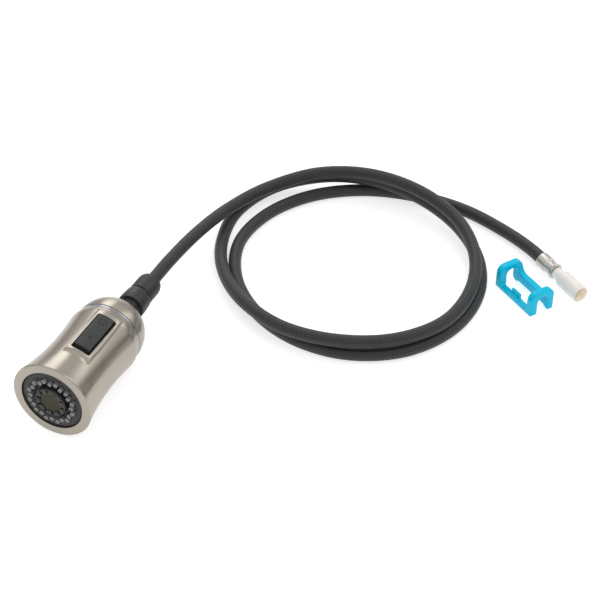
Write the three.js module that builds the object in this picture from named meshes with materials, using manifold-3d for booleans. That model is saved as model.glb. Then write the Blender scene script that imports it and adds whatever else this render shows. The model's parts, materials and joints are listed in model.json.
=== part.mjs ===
// Pull-out handheld sprayer: a bell-shaped spray head with a rocker, a rotary hose swivel, a braided
// hose lying in two loops, a push-fit quick connector and its loose lock clip.
// Millimetres, +Z up. The head lies on its side on the table with its spray face towards -Y.
import * as THREE from "three";
import { mergeVertices } from "three/addons/utils/BufferGeometryUtils.js";
import Module from "manifold-3d";

const wasm = await Module();
wasm.setup();

// ---- Clearances ----
const GAP = 0.3;                  // between pieces that touch or slide on the real object
const CUT = 1;                    // how far a cutting shape runs past the face that it opens

// ---- Placing ----
const HEAD_X = -115.5;            // the head's axis, across the table
const FACE_Y = -136.8;            // centre of the spray face
const HEAD_ROLL = 17;             // degrees that the head lies rolled about its own axis
const CONNECTOR_START = [123.3, 158.6];
const CONNECTOR_TURN = -35.8;     // degrees from +X of the connector's axis
const CLIP_CORNER = [99.52, 124.13];
const CLIP_TURN = -34.5;

// ---- Bell shell; distances along the axis are counted backwards from the face plane ----
const RIM_RADIUS = 28.8;
const RIM_AT = 1;
const RIM_EDGE = 0.6;
const WAIST_RADIUS = 24.5;
const WAIST_AT = 42;
const SHOULDER_RADIUS = 26.4;
const SHOULDER_AT = 71;
const SHELL_TAIL = 2.2;           // straight end of the shell behind the shoulder
const SHELL_WALL = 1.8;
const FLARE_POWER = 2.1;
const SHOULDER_POWER = 2.4;
const FACE_OPENING = 22.6;
const RIM_THICKNESS = 1.6;

// ---- Bezel, rocker and what carries them ----
const BEZEL_HALF_WIDTH = 8.3;
const BEZEL_LENGTH = 43.5;
const BEZEL_TO_SHOULDER = 3.5;
const BEZEL_LIP = 1.2;
const BEZEL_REACH = 1.7;          // bezel walls below the shell's inner wall at its waist
const OPENING_FRONT_STEP = 0.8;   // how much wider the lip is in front of the rocker
const OPENING_REAR_STEP = 2.6;    // and behind it
const BEZEL_CORNER = 2.4;
const LINER_WALL = 0.5;
const ROCKER_SLACK = 0.4;
const ROCKER_END_SLACK = 0.6;
const ROCKER_PROUD = 0.6;         // the rocker's top above the bezel when it is level
const ROCKER_DEPTH = 5.6;
const ROCKER_ROOF = 1.9;
const ROCKER_SIDE = 1.3;
const ROCKER_REST_TILT = -3;      // degrees; the rear end is pressed in
const PIVOT_DROP = 4.6;           // pivot axis below the level top
const PIN_RADIUS = 1;
const EAR_THICKNESS = 1.6;
const EAR_LENGTH = 5;
const FOOT_WIDTH = 3;
const FOOT_THICKNESS = 4.2;
const CRADLE_HALF_WIDTH = 8.6;
const CRADLE_DROP = 1.4;          // cradle top below the bezel's walls

// ---- Valve body and diverter ----
const BODY_FRONT = 9.9;
const BODY_RADIUS = 15;
const NECK_RADIUS = 11.2;
const NECK_LENGTH = 20;
const FLANGE_THICKNESS = 3;
const SPOOL_HEIGHT = 10.5;        // spool axis above the head's axis
const SPOOL_RADIUS = 3;
const SPOOL_LENGTH = 24;
const SPOOL_BACK_ROOM = 3;        // chamber left behind the spool
const SEAL_GROOVE_DEPTH = 0.85;
const SEAL_WIDTH = 1.6;
const SEAL_INSET = 3;             // seal centre from the spool's end
const STREAM_BORE = 3;
const CHECK_BORE = 5.2;
const CHECK_DEPTH = 10;
const INLET_RADIUS = 8.3;
const INLET_DEPTH = 16;

// ---- Spray face ----
const FACE_RECESS = 1;
const PLATE_THICKNESS = 2.4;
const NOZZLE_COUNT = 24;
const NOZZLE_OUTER_PITCH = 16.4;
const NOZZLE_INNER_PITCH = 15.1;
const NOZZLE_BASE = 1.45;
const NOZZLE_TIP = 0.95;
const NOZZLE_BORE = 0.45;
const NOZZLE_PROUD = 1.7;
const MAT_THICKNESS = 1.2;
const FLOW_THICKNESS = 1.6;
const FLOW_HOLES = 12;
const FLOW_HOLE_RADIUS = 1.2;
const AERATOR_RADIUS = 11.1;
const AERATOR_WALL = 3.1;
const AERATOR_SPIGOT = 9.3;
const AERATOR_PROUD = 2.2;
const AERATOR_NOTCHES = 10;
const AERATOR_NOTCH_WIDTH = 1.6;
const AERATOR_NOTCH_DEPTH = 1.2;
const CARRIER_WALL = 2.2;
const CARRIER_FLOOR = 1.4;
const SCREW_COUNT = 3;
const SCREW_PITCH = 17.6;
const SCREW_RADIUS = 1.2;
const SCREW_HEAD = 2.1;

// ---- Rear: trim ring, collar, swivel nut ----
const TRIM_WIDTH = 1.2;
const TRIM_INSET = 0.4;           // trim ring below the shell's shoulder
const COLLAR_LENGTH = 15.8;
const COLLAR_INSET = 0.8;         // collar's front below the shell's shoulder
const COLLAR_DROP = 5.2;          // how far the collar narrows
const COLLAR_WALL = 1.8;
const NUT_NECK_RADIUS = 8.9;
const NUT_NECK_LENGTH = 15.2;
const NUT_SKIRT_LENGTH = 17.3;
const NUT_SKIRT_RADIUS = 10;
const NUT_END_RADIUS = 9.4;
const NUT_RIBS = 8;
const NUT_CAVITY = 14;
const NUT_CAVITY_RADIUS = 6.6;
const STEM_RADIUS = 4;
const STEM_BORE = 2.2;
const STEM_FLANGE = 5.9;
const SLEEVE_GAP = 0.8;
const SLEEVE_LENGTH = 17.4;
const SLEEVE_RADIUS = 8.9;
const SLEEVE_END_RADIUS = 7;
const SLEEVE_WALL = 1.7;

// ---- Hose and its far end ----
const HOSE_RADIUS = 4.7;
const HOSE_SIDES = 10;
const HOSE_STEPS = 80;
const HOSE_IN_SLEEVE = 12.6;      // length of hose inside the sleeve
const FERRULE_WALL = 0.5;
const HEAD_FERRULE_LENGTH = 9;
const HOSE_IN_FERRULE = 9;
const TAIL_FERRULE_LENGTH = 14.9;
const TAIL_NECKING = 8.4;
const BEAD_RADIUS = 5.8;
const BEAD_WIDTH = 2.2;
const TAIL_STEM_RADIUS = 3.1;
const CONNECTOR_NECK_RADIUS = 4.4;
const CONNECTOR_NECK_LENGTH = 6.6;
const CONNECTOR_RADIUS = 6.4;
const CONNECTOR_LENGTH = 29;      // from the bead to the mouth
const SOCKET_RADIUS = 5.5;
const SOCKET_DEPTH = 16;

// ---- Lock clip ----
const CLIP_LENGTH = 41.6;
const CLIP_DEPTH = 20.2;
const CLIP_HEIGHT = 18.5;
const CLIP_ARCH = 5.2;            // thickness of each arch along the clip
const CLIP_FRONT_LEG = 5.9;
const CLIP_REAR_LEG = 4.9;
const CLIP_TOP = 4.2;             // material above the notch
const CLIP_RAIL = 4;              // height of the front rail
const CLIP_RAIL_DEPTH = 4;
const CLIP_TAB_WIDTH = 9.6;
const CLIP_TAB_HEIGHT = 4;
const CLIP_TAB_THICKNESS = 1.8;
const CLIP_SCOOP = 9;             // lowest height of the back rail
const CLIP_CORNER_RADIUS = 5;     // of the arches' upper corners
const CLIP_RAIL_CORNER = 3;
const CLIP_SCOOP_CORNER = 6;
const CLIP_TIP = 1.8;             // rear legs below the back rail
const CLIP_TIP_CORNER = 4;        // of the rear legs' lower corners

// The hose's route after it leaves the sleeve, laid by hand: two loops, the upper one riding on the
// lower one, and the tail passing below both.
const HOSE_ROUTE = [
  [-115, 28, 23.5], [-113, 68, 20.5], [-107.5, 107.5, 16], [-92, 144.5, 15], [-62, 170.5, 20],
  [-23.5, 180.5, 24], [16.5, 179.5, 22], [53.5, 164.5, 17.5], [79, 134, 15], [90, 95.5, 14.3],
  [85, 55.5, 14.5], [61, 24, 15], [25, 6, 15.5], [-15, 3.5, 15], [-52.5, 18.5, 13.5],
  [-81.5, 46, 9.5], [-100.5, 81, 5.5], [-106.5, 120.5, 4.8], [-92.5, 158, 6], [-59.5, 179.5, 11.5],
  [-20, 186.5, 14.5], [19.5, 183, 11.5], [56, 166.5, 7], [82.5, 136.5, 4.8], [94, 98, 4.8],
  [88.5, 58.5, 4.8], [66, 25.5, 4.8], [30.5, 7, 4.8], [-9.5, 6.5, 4.8], [-46.5, 22.5, 4.8],
  [-74.5, 51, 4.8], [-89, 88.5, 4.8], [-83.5, 128, 4.8], [-62, 161.5, 4.8], [-28.5, 184, 4.8],
  [10.5, 193.5, 4.8], [50.5, 192, 4.8], [89, 179, 5.2], [112.4, 166.4, 6],
];

// ---- Worked out from the driving dimensions ----
const rad = THREE.MathUtils.degToRad;
const TILT = Math.atan2(RIM_RADIUS - SHOULDER_RADIUS, SHOULDER_AT - RIM_AT);
const FACE_Z = RIM_RADIUS * Math.cos(TILT) + RIM_AT * Math.sin(TILT);
const SHELL_END = SHOULDER_AT + SHELL_TAIL;
const BEZEL_TOP = SHOULDER_RADIUS;
const BEZEL_FLOOR = WAIST_RADIUS - SHELL_WALL - BEZEL_REACH;
const BEZEL_REAR = SHOULDER_AT - BEZEL_TO_SHOULDER;
const BEZEL_FRONT = BEZEL_REAR - BEZEL_LENGTH;
const BODY_STEP = BEZEL_REAR - 1.5;
const BODY_REAR = BODY_STEP + NECK_LENGTH;
const TRIM_RADIUS = SHOULDER_RADIUS - TRIM_INSET;
const COLLAR_FRONT_RADIUS = SHOULDER_RADIUS - COLLAR_INSET;
const OPEN_HALF_WIDTH = BEZEL_HALF_WIDTH - BEZEL_LIP;
const OPEN_FRONT = BEZEL_FRONT + BEZEL_LIP + OPENING_FRONT_STEP;
const OPEN_REAR = BEZEL_REAR - BEZEL_LIP - OPENING_REAR_STEP;
const LINER_CLEAR = GAP + LINER_WALL;
const ROCKER_HALF_WIDTH = OPEN_HALF_WIDTH - LINER_CLEAR - ROCKER_SLACK / 2;
const ROCKER_HALF_LENGTH = (OPEN_REAR - OPEN_FRONT) / 2 - LINER_CLEAR - ROCKER_END_SLACK;
const PIVOT_AT = (OPEN_FRONT + OPEN_REAR) / 2;
const ROCKER_TOP = BEZEL_TOP + ROCKER_PROUD;
const PIVOT_HEIGHT = ROCKER_TOP - PIVOT_DROP;
const CRADLE_TOP = BEZEL_FLOOR - CRADLE_DROP;
const SPOOL_ARM = PIVOT_HEIGHT - SPOOL_HEIGHT - 1;
const SPOOL_AT = PIVOT_AT + SPOOL_ARM * Math.sin(rad(ROCKER_REST_TILT));
const CHAMBER_RADIUS = SPOOL_RADIUS + GAP;
const CHAMBER_END = SPOOL_AT + SPOOL_LENGTH / 2 + SPOOL_BACK_ROOM;
const PLATE_BACK = FACE_RECESS + PLATE_THICKNESS;
const PLATE_RADIUS = FACE_OPENING - GAP;
const MAT_FRONT = PLATE_BACK + GAP;
const MAT_BACK = MAT_FRONT + MAT_THICKNESS;
const FLOW_FRONT = MAT_BACK + GAP;
const FLOW_BACK = FLOW_FRONT + FLOW_THICKNESS;
const FLOOR_FRONT = FLOW_BACK + GAP;
const FLOOR_BACK = FLOOR_FRONT + CARRIER_FLOOR;
const CARRIER_BORE = FACE_OPENING - 2 * GAP;
const TRIM_AT = SHELL_END + GAP;
const COLLAR_AT = TRIM_AT + TRIM_WIDTH + GAP;
const COLLAR_END = COLLAR_AT + COLLAR_LENGTH;
const COLLAR_MOUTH = NECK_RADIUS + 2 * GAP;
const NUT_FRONT = BODY_REAR - INLET_DEPTH + 1.6;
const NUT_SHOULDER = BODY_REAR + GAP;
const SKIRT_AT = NUT_SHOULDER + NUT_NECK_LENGTH;
const NUT_END = SKIRT_AT + NUT_SKIRT_LENGTH;
const SLEEVE_AT = NUT_END + SLEEVE_GAP;
const SLEEVE_END = SLEEVE_AT + SLEEVE_LENGTH;
const HOSE_AT = SLEEVE_END - HOSE_IN_SLEEVE;
const FERRULE_BORE = HOSE_RADIUS + GAP;
const BEAD_AT = TAIL_FERRULE_LENGTH + GAP;
const CONNECTOR_AT = BEAD_AT + BEAD_WIDTH + GAP;
const MOUTH_AT = CONNECTOR_AT + CONNECTOR_LENGTH;

// ---- Facets ----
const NOZZLE_SIDES = 6;
const FINE = 40;                  // sides of a large turned piece
const MEDIUM = 28;
const COARSE = 20;                // sides of a small or hidden one

// ---- Materials ----
function finish(color, roughness, metalness) {
  return new THREE.MeshStandardMaterial({ color, roughness, metalness });
}
const nickel = finish(0xb9b0a2, 0.32, 1);
const steel = finish(0xc9c7c2, 0.2, 1);
const brass = finish(0xb08d4a, 0.35, 1);
const blackPlastic = finish(0x3b3c3b, 0.55, 0);
const greyPlastic = finish(0x8d9092, 0.5, 0);
const siliconeGrey = finish(0x7c8280, 0.6, 0);
const rubber = finish(0x1b1b1b, 0.8, 0);
const braid = finish(0x3a3c3b, 0.6, 0);
const whitePlastic = finish(0xf0ede8, 0.4, 0);
const bluePlastic = finish(0x00a5d0, 0.35, 0);

// ---- Shape helpers ----
// A closed body with shared corners, no empty triangles and its faces outwards.
function closedBody(geometry) {
  const bare = new THREE.BufferGeometry();
  bare.setAttribute("position", geometry.getAttribute("position"));
  bare.setIndex(geometry.getIndex());
  const merged = mergeVertices(bare, 1e-4);
  const position = merged.getAttribute("position");
  const source = merged.getIndex().array;
  const index = [];
  let volume = 0;
  const corners = [new THREE.Vector3(), new THREE.Vector3(), new THREE.Vector3()];
  for (let i = 0; i < source.length; i += 3) {
    const [a, b, c] = [source[i], source[i + 1], source[i + 2]];
    if (a === b || b === c || c === a) continue;
    index.push(a, b, c);
    [a, b, c].forEach((vertex, k) => corners[k].fromBufferAttribute(position, vertex));
    volume += corners[0].dot(corners[1].clone().cross(corners[2]));
  }
  if (volume < 0) index.reverse();
  merged.setIndex(index);
  return merged;
}

function toManifold(geometry) {
  const body = closedBody(geometry);
  return new wasm.Manifold(new wasm.Mesh({
    numProp: 3,
    vertProperties: new Float32Array(body.getAttribute("position").array),
    triVerts: new Uint32Array(body.getIndex().array),
  }));
}

function fromManifold(manifold) {
  const mesh = manifold.getMesh();
  const geometry = new THREE.BufferGeometry();
  geometry.setAttribute("position", new THREE.BufferAttribute(new Float32Array(mesh.vertProperties), 3));
  geometry.setIndex(Array.from(mesh.triVerts));
  return geometry;
}

function cutFrom(geometry, tools) {
  let body = toManifold(geometry);
  for (const tool of tools) body = body.subtract(toManifold(tool));
  return fromManifold(body);
}

function join(geometries) {
  return fromManifold(geometries.map(toManifold).reduce((all, next) => all.add(next)));
}

// A solid of revolution about the local Y axis from [radius, distance] pairs.
function turned(profile, segments = MEDIUM) {
  const points = profile.map(([radius, along]) => new THREE.Vector2(radius, along));
  const onAxis = profile[0][0] === 0;
  if (!onAxis) points.push(points[0].clone());
  return closedBody(new THREE.LatheGeometry(points, segments));
}

function tube(inner, outer, from, to, segments = MEDIUM) {
  return turned([[inner, from], [outer, from], [outer, to], [inner, to]], segments);
}

function rod(radius, from, to, segments = 16) {
  return turned([[0, from], [radius, from], [radius, to], [0, to]], segments);
}

// A rubber ring of round section.
function sealRing(inner, outer, at, segments = COARSE) {
  const middle = (inner + outer) / 2;
  const radius = (outer - inner) / 2;
  const section = [];
  const sides = 5;
  for (let i = 0; i < sides; i++) {
    const angle = (i / sides) * 2 * Math.PI;
    section.push([middle + radius * Math.cos(angle), at + radius * Math.sin(angle)]);
  }
  return turned(section, segments);
}

function block(x0, x1, y0, y1, z0, z1) {
  const geometry = new THREE.BoxGeometry(x1 - x0, y1 - y0, z1 - z0);
  return geometry.translate((x0 + x1) / 2, (y0 + y1) / 2, (z0 + z1) / 2);
}

// A round rod along the local X axis or the local Z axis.
function rodAcross(radius, from, to, y, z, segments = 12) {
  return rod(radius, from, to, segments).rotateZ(-Math.PI / 2).translate(0, y, z);
}

function rodUp(radius, from, to, x, y, segments = 10) {
  return rod(radius, from, to, segments).rotateX(Math.PI / 2).translate(x, y, 0);
}

// A plate with rounded corners in X and Y, between two heights.
function roundedPlate(x0, x1, y0, y1, z0, z1, corner) {
  const shape = new THREE.Shape();
  shape.moveTo(x0 + corner, y0);
  shape.lineTo(x1 - corner, y0);
  shape.absarc(x1 - corner, y0 + corner, corner, -Math.PI / 2, 0);
  shape.lineTo(x1, y1 - corner);
  shape.absarc(x1 - corner, y1 - corner, corner, 0, Math.PI / 2);
  shape.lineTo(x0 + corner, y1);
  shape.absarc(x0 + corner, y1 - corner, corner, Math.PI / 2, Math.PI);
  shape.lineTo(x0, y0 + corner);
  shape.absarc(x0 + corner, y0 + corner, corner, Math.PI, 1.5 * Math.PI);
  const geometry = new THREE.ExtrudeGeometry(shape, {
    depth: z1 - z0, bevelEnabled: false, curveSegments: 4,
  });
  return geometry.translate(0, 0, z0);
}

function aroundAxis(count, offset, make) {
  return Array.from({ length: count }, (_, i) => make(offset + (i / count) * 2 * Math.PI, i));
}

function addPiece(parent, name, geometry, material) {
  const mesh = new THREE.Mesh(closedBody(geometry), material);
  mesh.name = name;
  parent.add(mesh);
  return mesh;
}

// ---- Bell shell ----
function shellRadius(at) {
  if (at < WAIST_AT) {
    const forward = (WAIST_AT - at) / (WAIST_AT - RIM_AT);
    return WAIST_RADIUS + (RIM_RADIUS - WAIST_RADIUS) * forward ** FLARE_POWER;
  }
  const backward = (at - WAIST_AT) / (SHOULDER_AT - WAIST_AT);
  return WAIST_RADIUS + (SHOULDER_RADIUS - WAIST_RADIUS) * backward ** SHOULDER_POWER;
}

function shellBore(at) {
  return shellRadius(at) - SHELL_WALL;
}

function bellShell() {
  const outer = [[FACE_OPENING, 0], [RIM_RADIUS - RIM_EDGE, 0]];
  const stations = 8;
  for (let i = 0; i <= stations; i++) {
    const at = RIM_AT + (i / stations) * (SHOULDER_AT - RIM_AT);
    outer.push([shellRadius(at), at]);
  }
  outer.push([SHOULDER_RADIUS - 0.2, SHELL_END]);
  const inner = [[shellBore(SHOULDER_AT), SHELL_END]];
  const innerStations = 4;
  for (let i = innerStations; i >= 1; i--) {
    const at = RIM_THICKNESS + (i / innerStations) * (SHOULDER_AT - RIM_THICKNESS);
    inner.push([shellBore(at), at]);
  }
  inner.push([shellBore(RIM_THICKNESS), RIM_THICKNESS], [FACE_OPENING, RIM_THICKNESS]);
  const wall = turned([...outer, ...inner], FINE);
  const bezelBlock = roundedPlate(-BEZEL_HALF_WIDTH, BEZEL_HALF_WIDTH, BEZEL_FRONT, BEZEL_REAR,
    BEZEL_FLOOR, BEZEL_TOP + CUT, BEZEL_CORNER);
  const crown = rod(BEZEL_TOP, BEZEL_FRONT - CUT, BEZEL_REAR + CUT, FINE);
  const bezel = fromManifold(toManifold(bezelBlock).intersect(toManifold(crown)));
  const opening = roundedPlate(-OPEN_HALF_WIDTH, OPEN_HALF_WIDTH, OPEN_FRONT, OPEN_REAR,
    BEZEL_FLOOR - CUT - SHELL_WALL, BEZEL_TOP + CUT, BEZEL_CORNER - BEZEL_LIP / 2);
  return cutFrom(join([wall, bezel]), [opening]);
}

// ---- Rocker, liner, pin, cradle ----
function rockerButton() {
  // Drawn level about the pivot: X across, Y along the head, Z up.
  const top = ROCKER_TOP - PIVOT_HEIGHT;
  const bottom = top - ROCKER_DEPTH;
  const body = roundedPlate(-ROCKER_HALF_WIDTH, ROCKER_HALF_WIDTH, -ROCKER_HALF_LENGTH,
    ROCKER_HALF_LENGTH, bottom, top, 1.4);
  const inside = ROCKER_HALF_WIDTH - ROCKER_SIDE;
  const pocket = block(-inside, inside, -7, 7, bottom - CUT, top - ROCKER_ROOF);
  const foot = block(-FOOT_WIDTH / 2, FOOT_WIDTH / 2, -FOOT_THICKNESS / 2, FOOT_THICKNESS / 2,
    SPOOL_HEIGHT - PIVOT_HEIGHT, top - ROCKER_ROOF + 0.5);
  const pinHole = rodAcross(PIN_RADIUS + GAP, -ROCKER_HALF_WIDTH - CUT, ROCKER_HALF_WIDTH + CUT, 0, 0);
  return cutFrom(join([cutFrom(body, [pocket]), foot]), [pinHole]);
}

function buttonLiner() {
  const outer = OPEN_HALF_WIDTH - GAP;
  const inner = outer - LINER_WALL;
  const high = BEZEL_TOP - 1.4;
  const plate = roundedPlate(-outer, outer, OPEN_FRONT + GAP, OPEN_REAR - GAP, BEZEL_FLOOR, high,
    1.6);
  const window = roundedPlate(-inner, inner, OPEN_FRONT + LINER_CLEAR, OPEN_REAR - LINER_CLEAR,
    BEZEL_FLOOR - CUT, high + CUT, 1.1);
  return cutFrom(plate, [window]);
}

function rockerPin() {
  return rodAcross(PIN_RADIUS, -ROCKER_HALF_WIDTH, ROCKER_HALF_WIDTH, PIVOT_AT, PIVOT_HEIGHT);
}

function rockerCradle() {
  const low = BODY_RADIUS + GAP;
  const base = block(-CRADLE_HALF_WIDTH, CRADLE_HALF_WIDTH, OPEN_FRONT, OPEN_REAR, low, CRADLE_TOP);
  const earOuter = ROCKER_HALF_WIDTH - ROCKER_SIDE - GAP;
  const earInner = earOuter - EAR_THICKNESS;
  const earTop = PIVOT_HEIGHT + PIN_RADIUS + GAP + 0.6;
  const near = PIVOT_AT - EAR_LENGTH / 2;
  const far = PIVOT_AT + EAR_LENGTH / 2;
  const ears = [
    block(-earOuter, -earInner, near, far, CRADLE_TOP - 0.5, earTop),
    block(earInner, earOuter, near, far, CRADLE_TOP - 0.5, earTop),
  ];
  const window = block(-earInner, earInner, PIVOT_AT - 6, PIVOT_AT + 6, low - CUT, CRADLE_TOP + CUT);
  const pinHole = rodAcross(PIN_RADIUS + GAP, -earOuter - CUT, earOuter + CUT, PIVOT_AT, PIVOT_HEIGHT);
  return cutFrom(join([base, ...ears]), [window, pinHole]);
}

// ---- Valve body and what sits in it ----
function valveBody() {
  const flange = CARRIER_BORE - 1.5;
  const outside = turned([
    [0, BODY_FRONT], [flange, BODY_FRONT], [flange, BODY_FRONT + FLANGE_THICKNESS],
    [BODY_RADIUS, BODY_FRONT + FLANGE_THICKNESS], [BODY_RADIUS, BODY_STEP],
    [NECK_RADIUS, BODY_STEP], [NECK_RADIUS, BODY_REAR], [0, BODY_REAR],
  ]);
  const spoolFront = SPOOL_AT - SPOOL_LENGTH / 2;
  const checkEnd = BODY_REAR - INLET_DEPTH - CHECK_DEPTH;
  const feedAt = CHAMBER_END - 2;
  const cuts = [
    rod(INLET_RADIUS, BODY_REAR - INLET_DEPTH, BODY_REAR + CUT, 24),
    rod(CHECK_BORE, checkEnd, BODY_REAR - INLET_DEPTH + CUT, 20),
    rod(STREAM_BORE, feedAt - 2, checkEnd + CUT, 12),
    rodUp(STREAM_BORE * 0.6, 0, SPOOL_HEIGHT, 0, feedAt),
    rod(STREAM_BORE, BODY_FRONT - CUT, spoolFront + 6, 12),
    rodUp(STREAM_BORE * 0.6, 0, SPOOL_HEIGHT, 0, spoolFront + 4),
    rod(CHAMBER_RADIUS, BODY_FRONT - CUT, CHAMBER_END, 20).translate(0, 0, SPOOL_HEIGHT),
    block(-FOOT_WIDTH / 2 - 0.5, FOOT_WIDTH / 2 + 0.5, SPOOL_AT - 4, SPOOL_AT + 5,
      SPOOL_HEIGHT, BODY_RADIUS + CUT),
    ...screwRods(SCREW_RADIUS + GAP, BODY_FRONT - CUT, BODY_FRONT + FLANGE_THICKNESS + CUT),
  ];
  return cutFrom(outside, cuts);
}

function spoolProfile() {
  const front = -SPOOL_LENGTH / 2;
  const groove = SPOOL_RADIUS - SEAL_GROOVE_DEPTH;
  const half = SEAL_WIDTH / 2;
  const profile = [[0, front], [SPOOL_RADIUS, front]];
  for (const at of [front + SEAL_INSET, -front - SEAL_INSET]) {
    profile.push([SPOOL_RADIUS, at - half], [groove, at - half]);
    profile.push([groove, at + half], [SPOOL_RADIUS, at + half]);
  }
  profile.push([SPOOL_RADIUS, -front], [0, -front]);
  return profile;
}

function diverterSpool() {
  const slot = block(-SPOOL_RADIUS - CUT, SPOOL_RADIUS + CUT, -FOOT_THICKNESS / 2 - GAP,
    FOOT_THICKNESS / 2 + GAP, -0.6, SPOOL_RADIUS + CUT);
  return cutFrom(turned(spoolProfile(), 16), [slot]).translate(0, SPOOL_AT, SPOOL_HEIGHT);
}

function spoolSeal(side) {
  const groove = SPOOL_RADIUS - SEAL_GROOVE_DEPTH;
  const at = side * (SPOOL_LENGTH / 2 - SEAL_INSET);
  return sealRing(groove + 0.1, SPOOL_RADIUS + 0.15, at, 16).translate(0, SPOOL_AT, SPOOL_HEIGHT);
}

function spoolPlug() {
  return tube(1.4, SPOOL_RADIUS, BODY_FRONT + 0.5, BODY_FRONT + 7, 16).translate(0, 0, SPOOL_HEIGHT);
}

function checkValve() {
  const back = BODY_REAR - INLET_DEPTH;
  const flange = CHECK_BORE - GAP;
  return turned([
    [0, back - CHECK_DEPTH + 1], [1.3, back - CHECK_DEPTH + 1], [3.4, back - 4.6], [flange, back - 4.6],
    [flange, back - 3], [0, back - 3],
  ], 20);
}

function inletScreen() {
  const back = BODY_REAR - INLET_DEPTH;
  const radius = CHECK_BORE - GAP;
  return turned([[0, back - 2.5], [radius, back - 1.5], [radius, back - 0.5], [0, back - 1.6]], 20);
}

function inletWasher() {
  const back = BODY_REAR - INLET_DEPTH;
  return tube(STEM_BORE + 1, INLET_RADIUS - GAP, back + GAP, NUT_FRONT - GAP, COARSE);
}

// ---- Spray face ----
function nozzlePlaces() {
  return aroundAxis(NOZZLE_COUNT, 0, (angle, i) => {
    const pitch = i % 2 ? NOZZLE_INNER_PITCH : NOZZLE_OUTER_PITCH;
    return [pitch * Math.sin(angle), pitch * Math.cos(angle)];
  });
}

function facePlate() {
  const plate = tube(AERATOR_RADIUS + 0.4, PLATE_RADIUS, FACE_RECESS, PLATE_BACK, FINE);
  const holes = nozzlePlaces().map(([x, z]) => {
    return rod(NOZZLE_BASE + GAP, FACE_RECESS - CUT, PLATE_BACK + CUT, NOZZLE_SIDES).translate(x, 0, z);
  });
  return cutFrom(plate, holes);
}

function nozzleMat() {
  const disc = tube(AERATOR_SPIGOT + 0.4, CARRIER_BORE - GAP, MAT_FRONT, MAT_BACK);
  const nozzles = nozzlePlaces().map(([x, z]) => {
    const profile = [
      [0, -NOZZLE_PROUD], [NOZZLE_TIP, -NOZZLE_PROUD], [NOZZLE_BASE, FACE_RECESS],
      [NOZZLE_BASE, MAT_BACK - 0.3], [0, MAT_BACK - 0.3],
    ];
    return turned(profile, NOZZLE_SIDES).translate(x, 0, z);
  });
  const bores = nozzlePlaces().map(([x, z]) => {
    return rod(NOZZLE_BORE, -NOZZLE_PROUD - CUT, MAT_BACK + CUT, 4).translate(x, 0, z);
  });
  return cutFrom(join([disc, ...nozzles]), bores);
}

function flowPlate() {
  const plate = tube(AERATOR_SPIGOT + 0.4, CARRIER_BORE - GAP, FLOW_FRONT, FLOW_BACK);
  const pitch = (NOZZLE_OUTER_PITCH + NOZZLE_INNER_PITCH) / 2;
  const holes = aroundAxis(FLOW_HOLES, Math.PI / NOZZLE_COUNT, (angle) => {
    return rod(FLOW_HOLE_RADIUS, FLOW_FRONT - CUT, FLOW_BACK + CUT, 6)
      .translate(pitch * Math.sin(angle), 0, pitch * Math.cos(angle));
  });
  return cutFrom(plate, holes);
}

function screwPlaces() {
  return aroundAxis(SCREW_COUNT, Math.PI, (angle) => {
    return [SCREW_PITCH * Math.sin(angle), SCREW_PITCH * Math.cos(angle)];
  });
}

function screwRods(radius, from, to) {
  return screwPlaces().map(([x, z]) => rod(radius, from, to, 10).translate(x, 0, z));
}

function carrierRadius() {
  return shellBore(BODY_FRONT + FLANGE_THICKNESS) - GAP;
}

function frontCarrier() {
  const outer = carrierRadius();
  const cup = turned([
    [AERATOR_SPIGOT + 0.4, FLOOR_FRONT], [CARRIER_BORE, FLOOR_FRONT], [CARRIER_BORE, MAT_FRONT],
    [outer, MAT_FRONT], [outer, FLOOR_BACK + 4], [outer - CARRIER_WALL, FLOOR_BACK + 4],
    [outer - CARRIER_WALL, FLOOR_BACK], [AERATOR_SPIGOT + 0.4, FLOOR_BACK],
  ], FINE);
  const sprayWay = rod(STREAM_BORE - 1, FLOOR_FRONT - CUT, FLOOR_BACK + CUT, 10)
    .translate(0, 0, SPOOL_HEIGHT + 1.5);
  return cutFrom(cup, [
    sprayWay,
    ...screwRods(SCREW_RADIUS + GAP, FLOOR_FRONT - CUT, FLOOR_BACK + CUT),
    ...screwRods(SCREW_HEAD + GAP, FLOOR_FRONT - CUT, FLOOR_FRONT + 1),
  ]);
}

function carrierScrew(x, z) {
  const seat = FLOOR_FRONT + 1 - GAP;
  const shank = [
    [0, FLOOR_FRONT], [SCREW_HEAD, FLOOR_FRONT], [SCREW_HEAD, seat], [SCREW_RADIUS, seat],
    [SCREW_RADIUS, BODY_FRONT + FLANGE_THICKNESS], [0, BODY_FRONT + FLANGE_THICKNESS],
  ];
  const drive = block(-1.6, 1.6, FLOOR_FRONT - CUT, FLOOR_FRONT + 0.35, -0.3, 0.3);
  return cutFrom(turned(shank, 12), [drive]).translate(x, 0, z);
}

function aeratorHousing() {
  const bore = AERATOR_RADIUS - AERATOR_WALL;
  const back = FLOOR_BACK;
  const body = turned([
    [bore, -AERATOR_PROUD], [AERATOR_RADIUS, -AERATOR_PROUD], [AERATOR_RADIUS, PLATE_BACK],
    [AERATOR_SPIGOT, PLATE_BACK], [AERATOR_SPIGOT, back], [STREAM_BORE, back],
    [STREAM_BORE, back - CARRIER_FLOOR], [bore, back - CARRIER_FLOOR],
  ]);
  const notches = aroundAxis(AERATOR_NOTCHES, 0.2, (angle) => {
    return block(-AERATOR_NOTCH_WIDTH / 2, AERATOR_NOTCH_WIDTH / 2, -AERATOR_PROUD - CUT,
      AERATOR_NOTCH_DEPTH - AERATOR_PROUD, bore - CUT, AERATOR_RADIUS - 0.9).rotateY(angle);
  });
  return cutFrom(body, notches);
}

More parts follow.
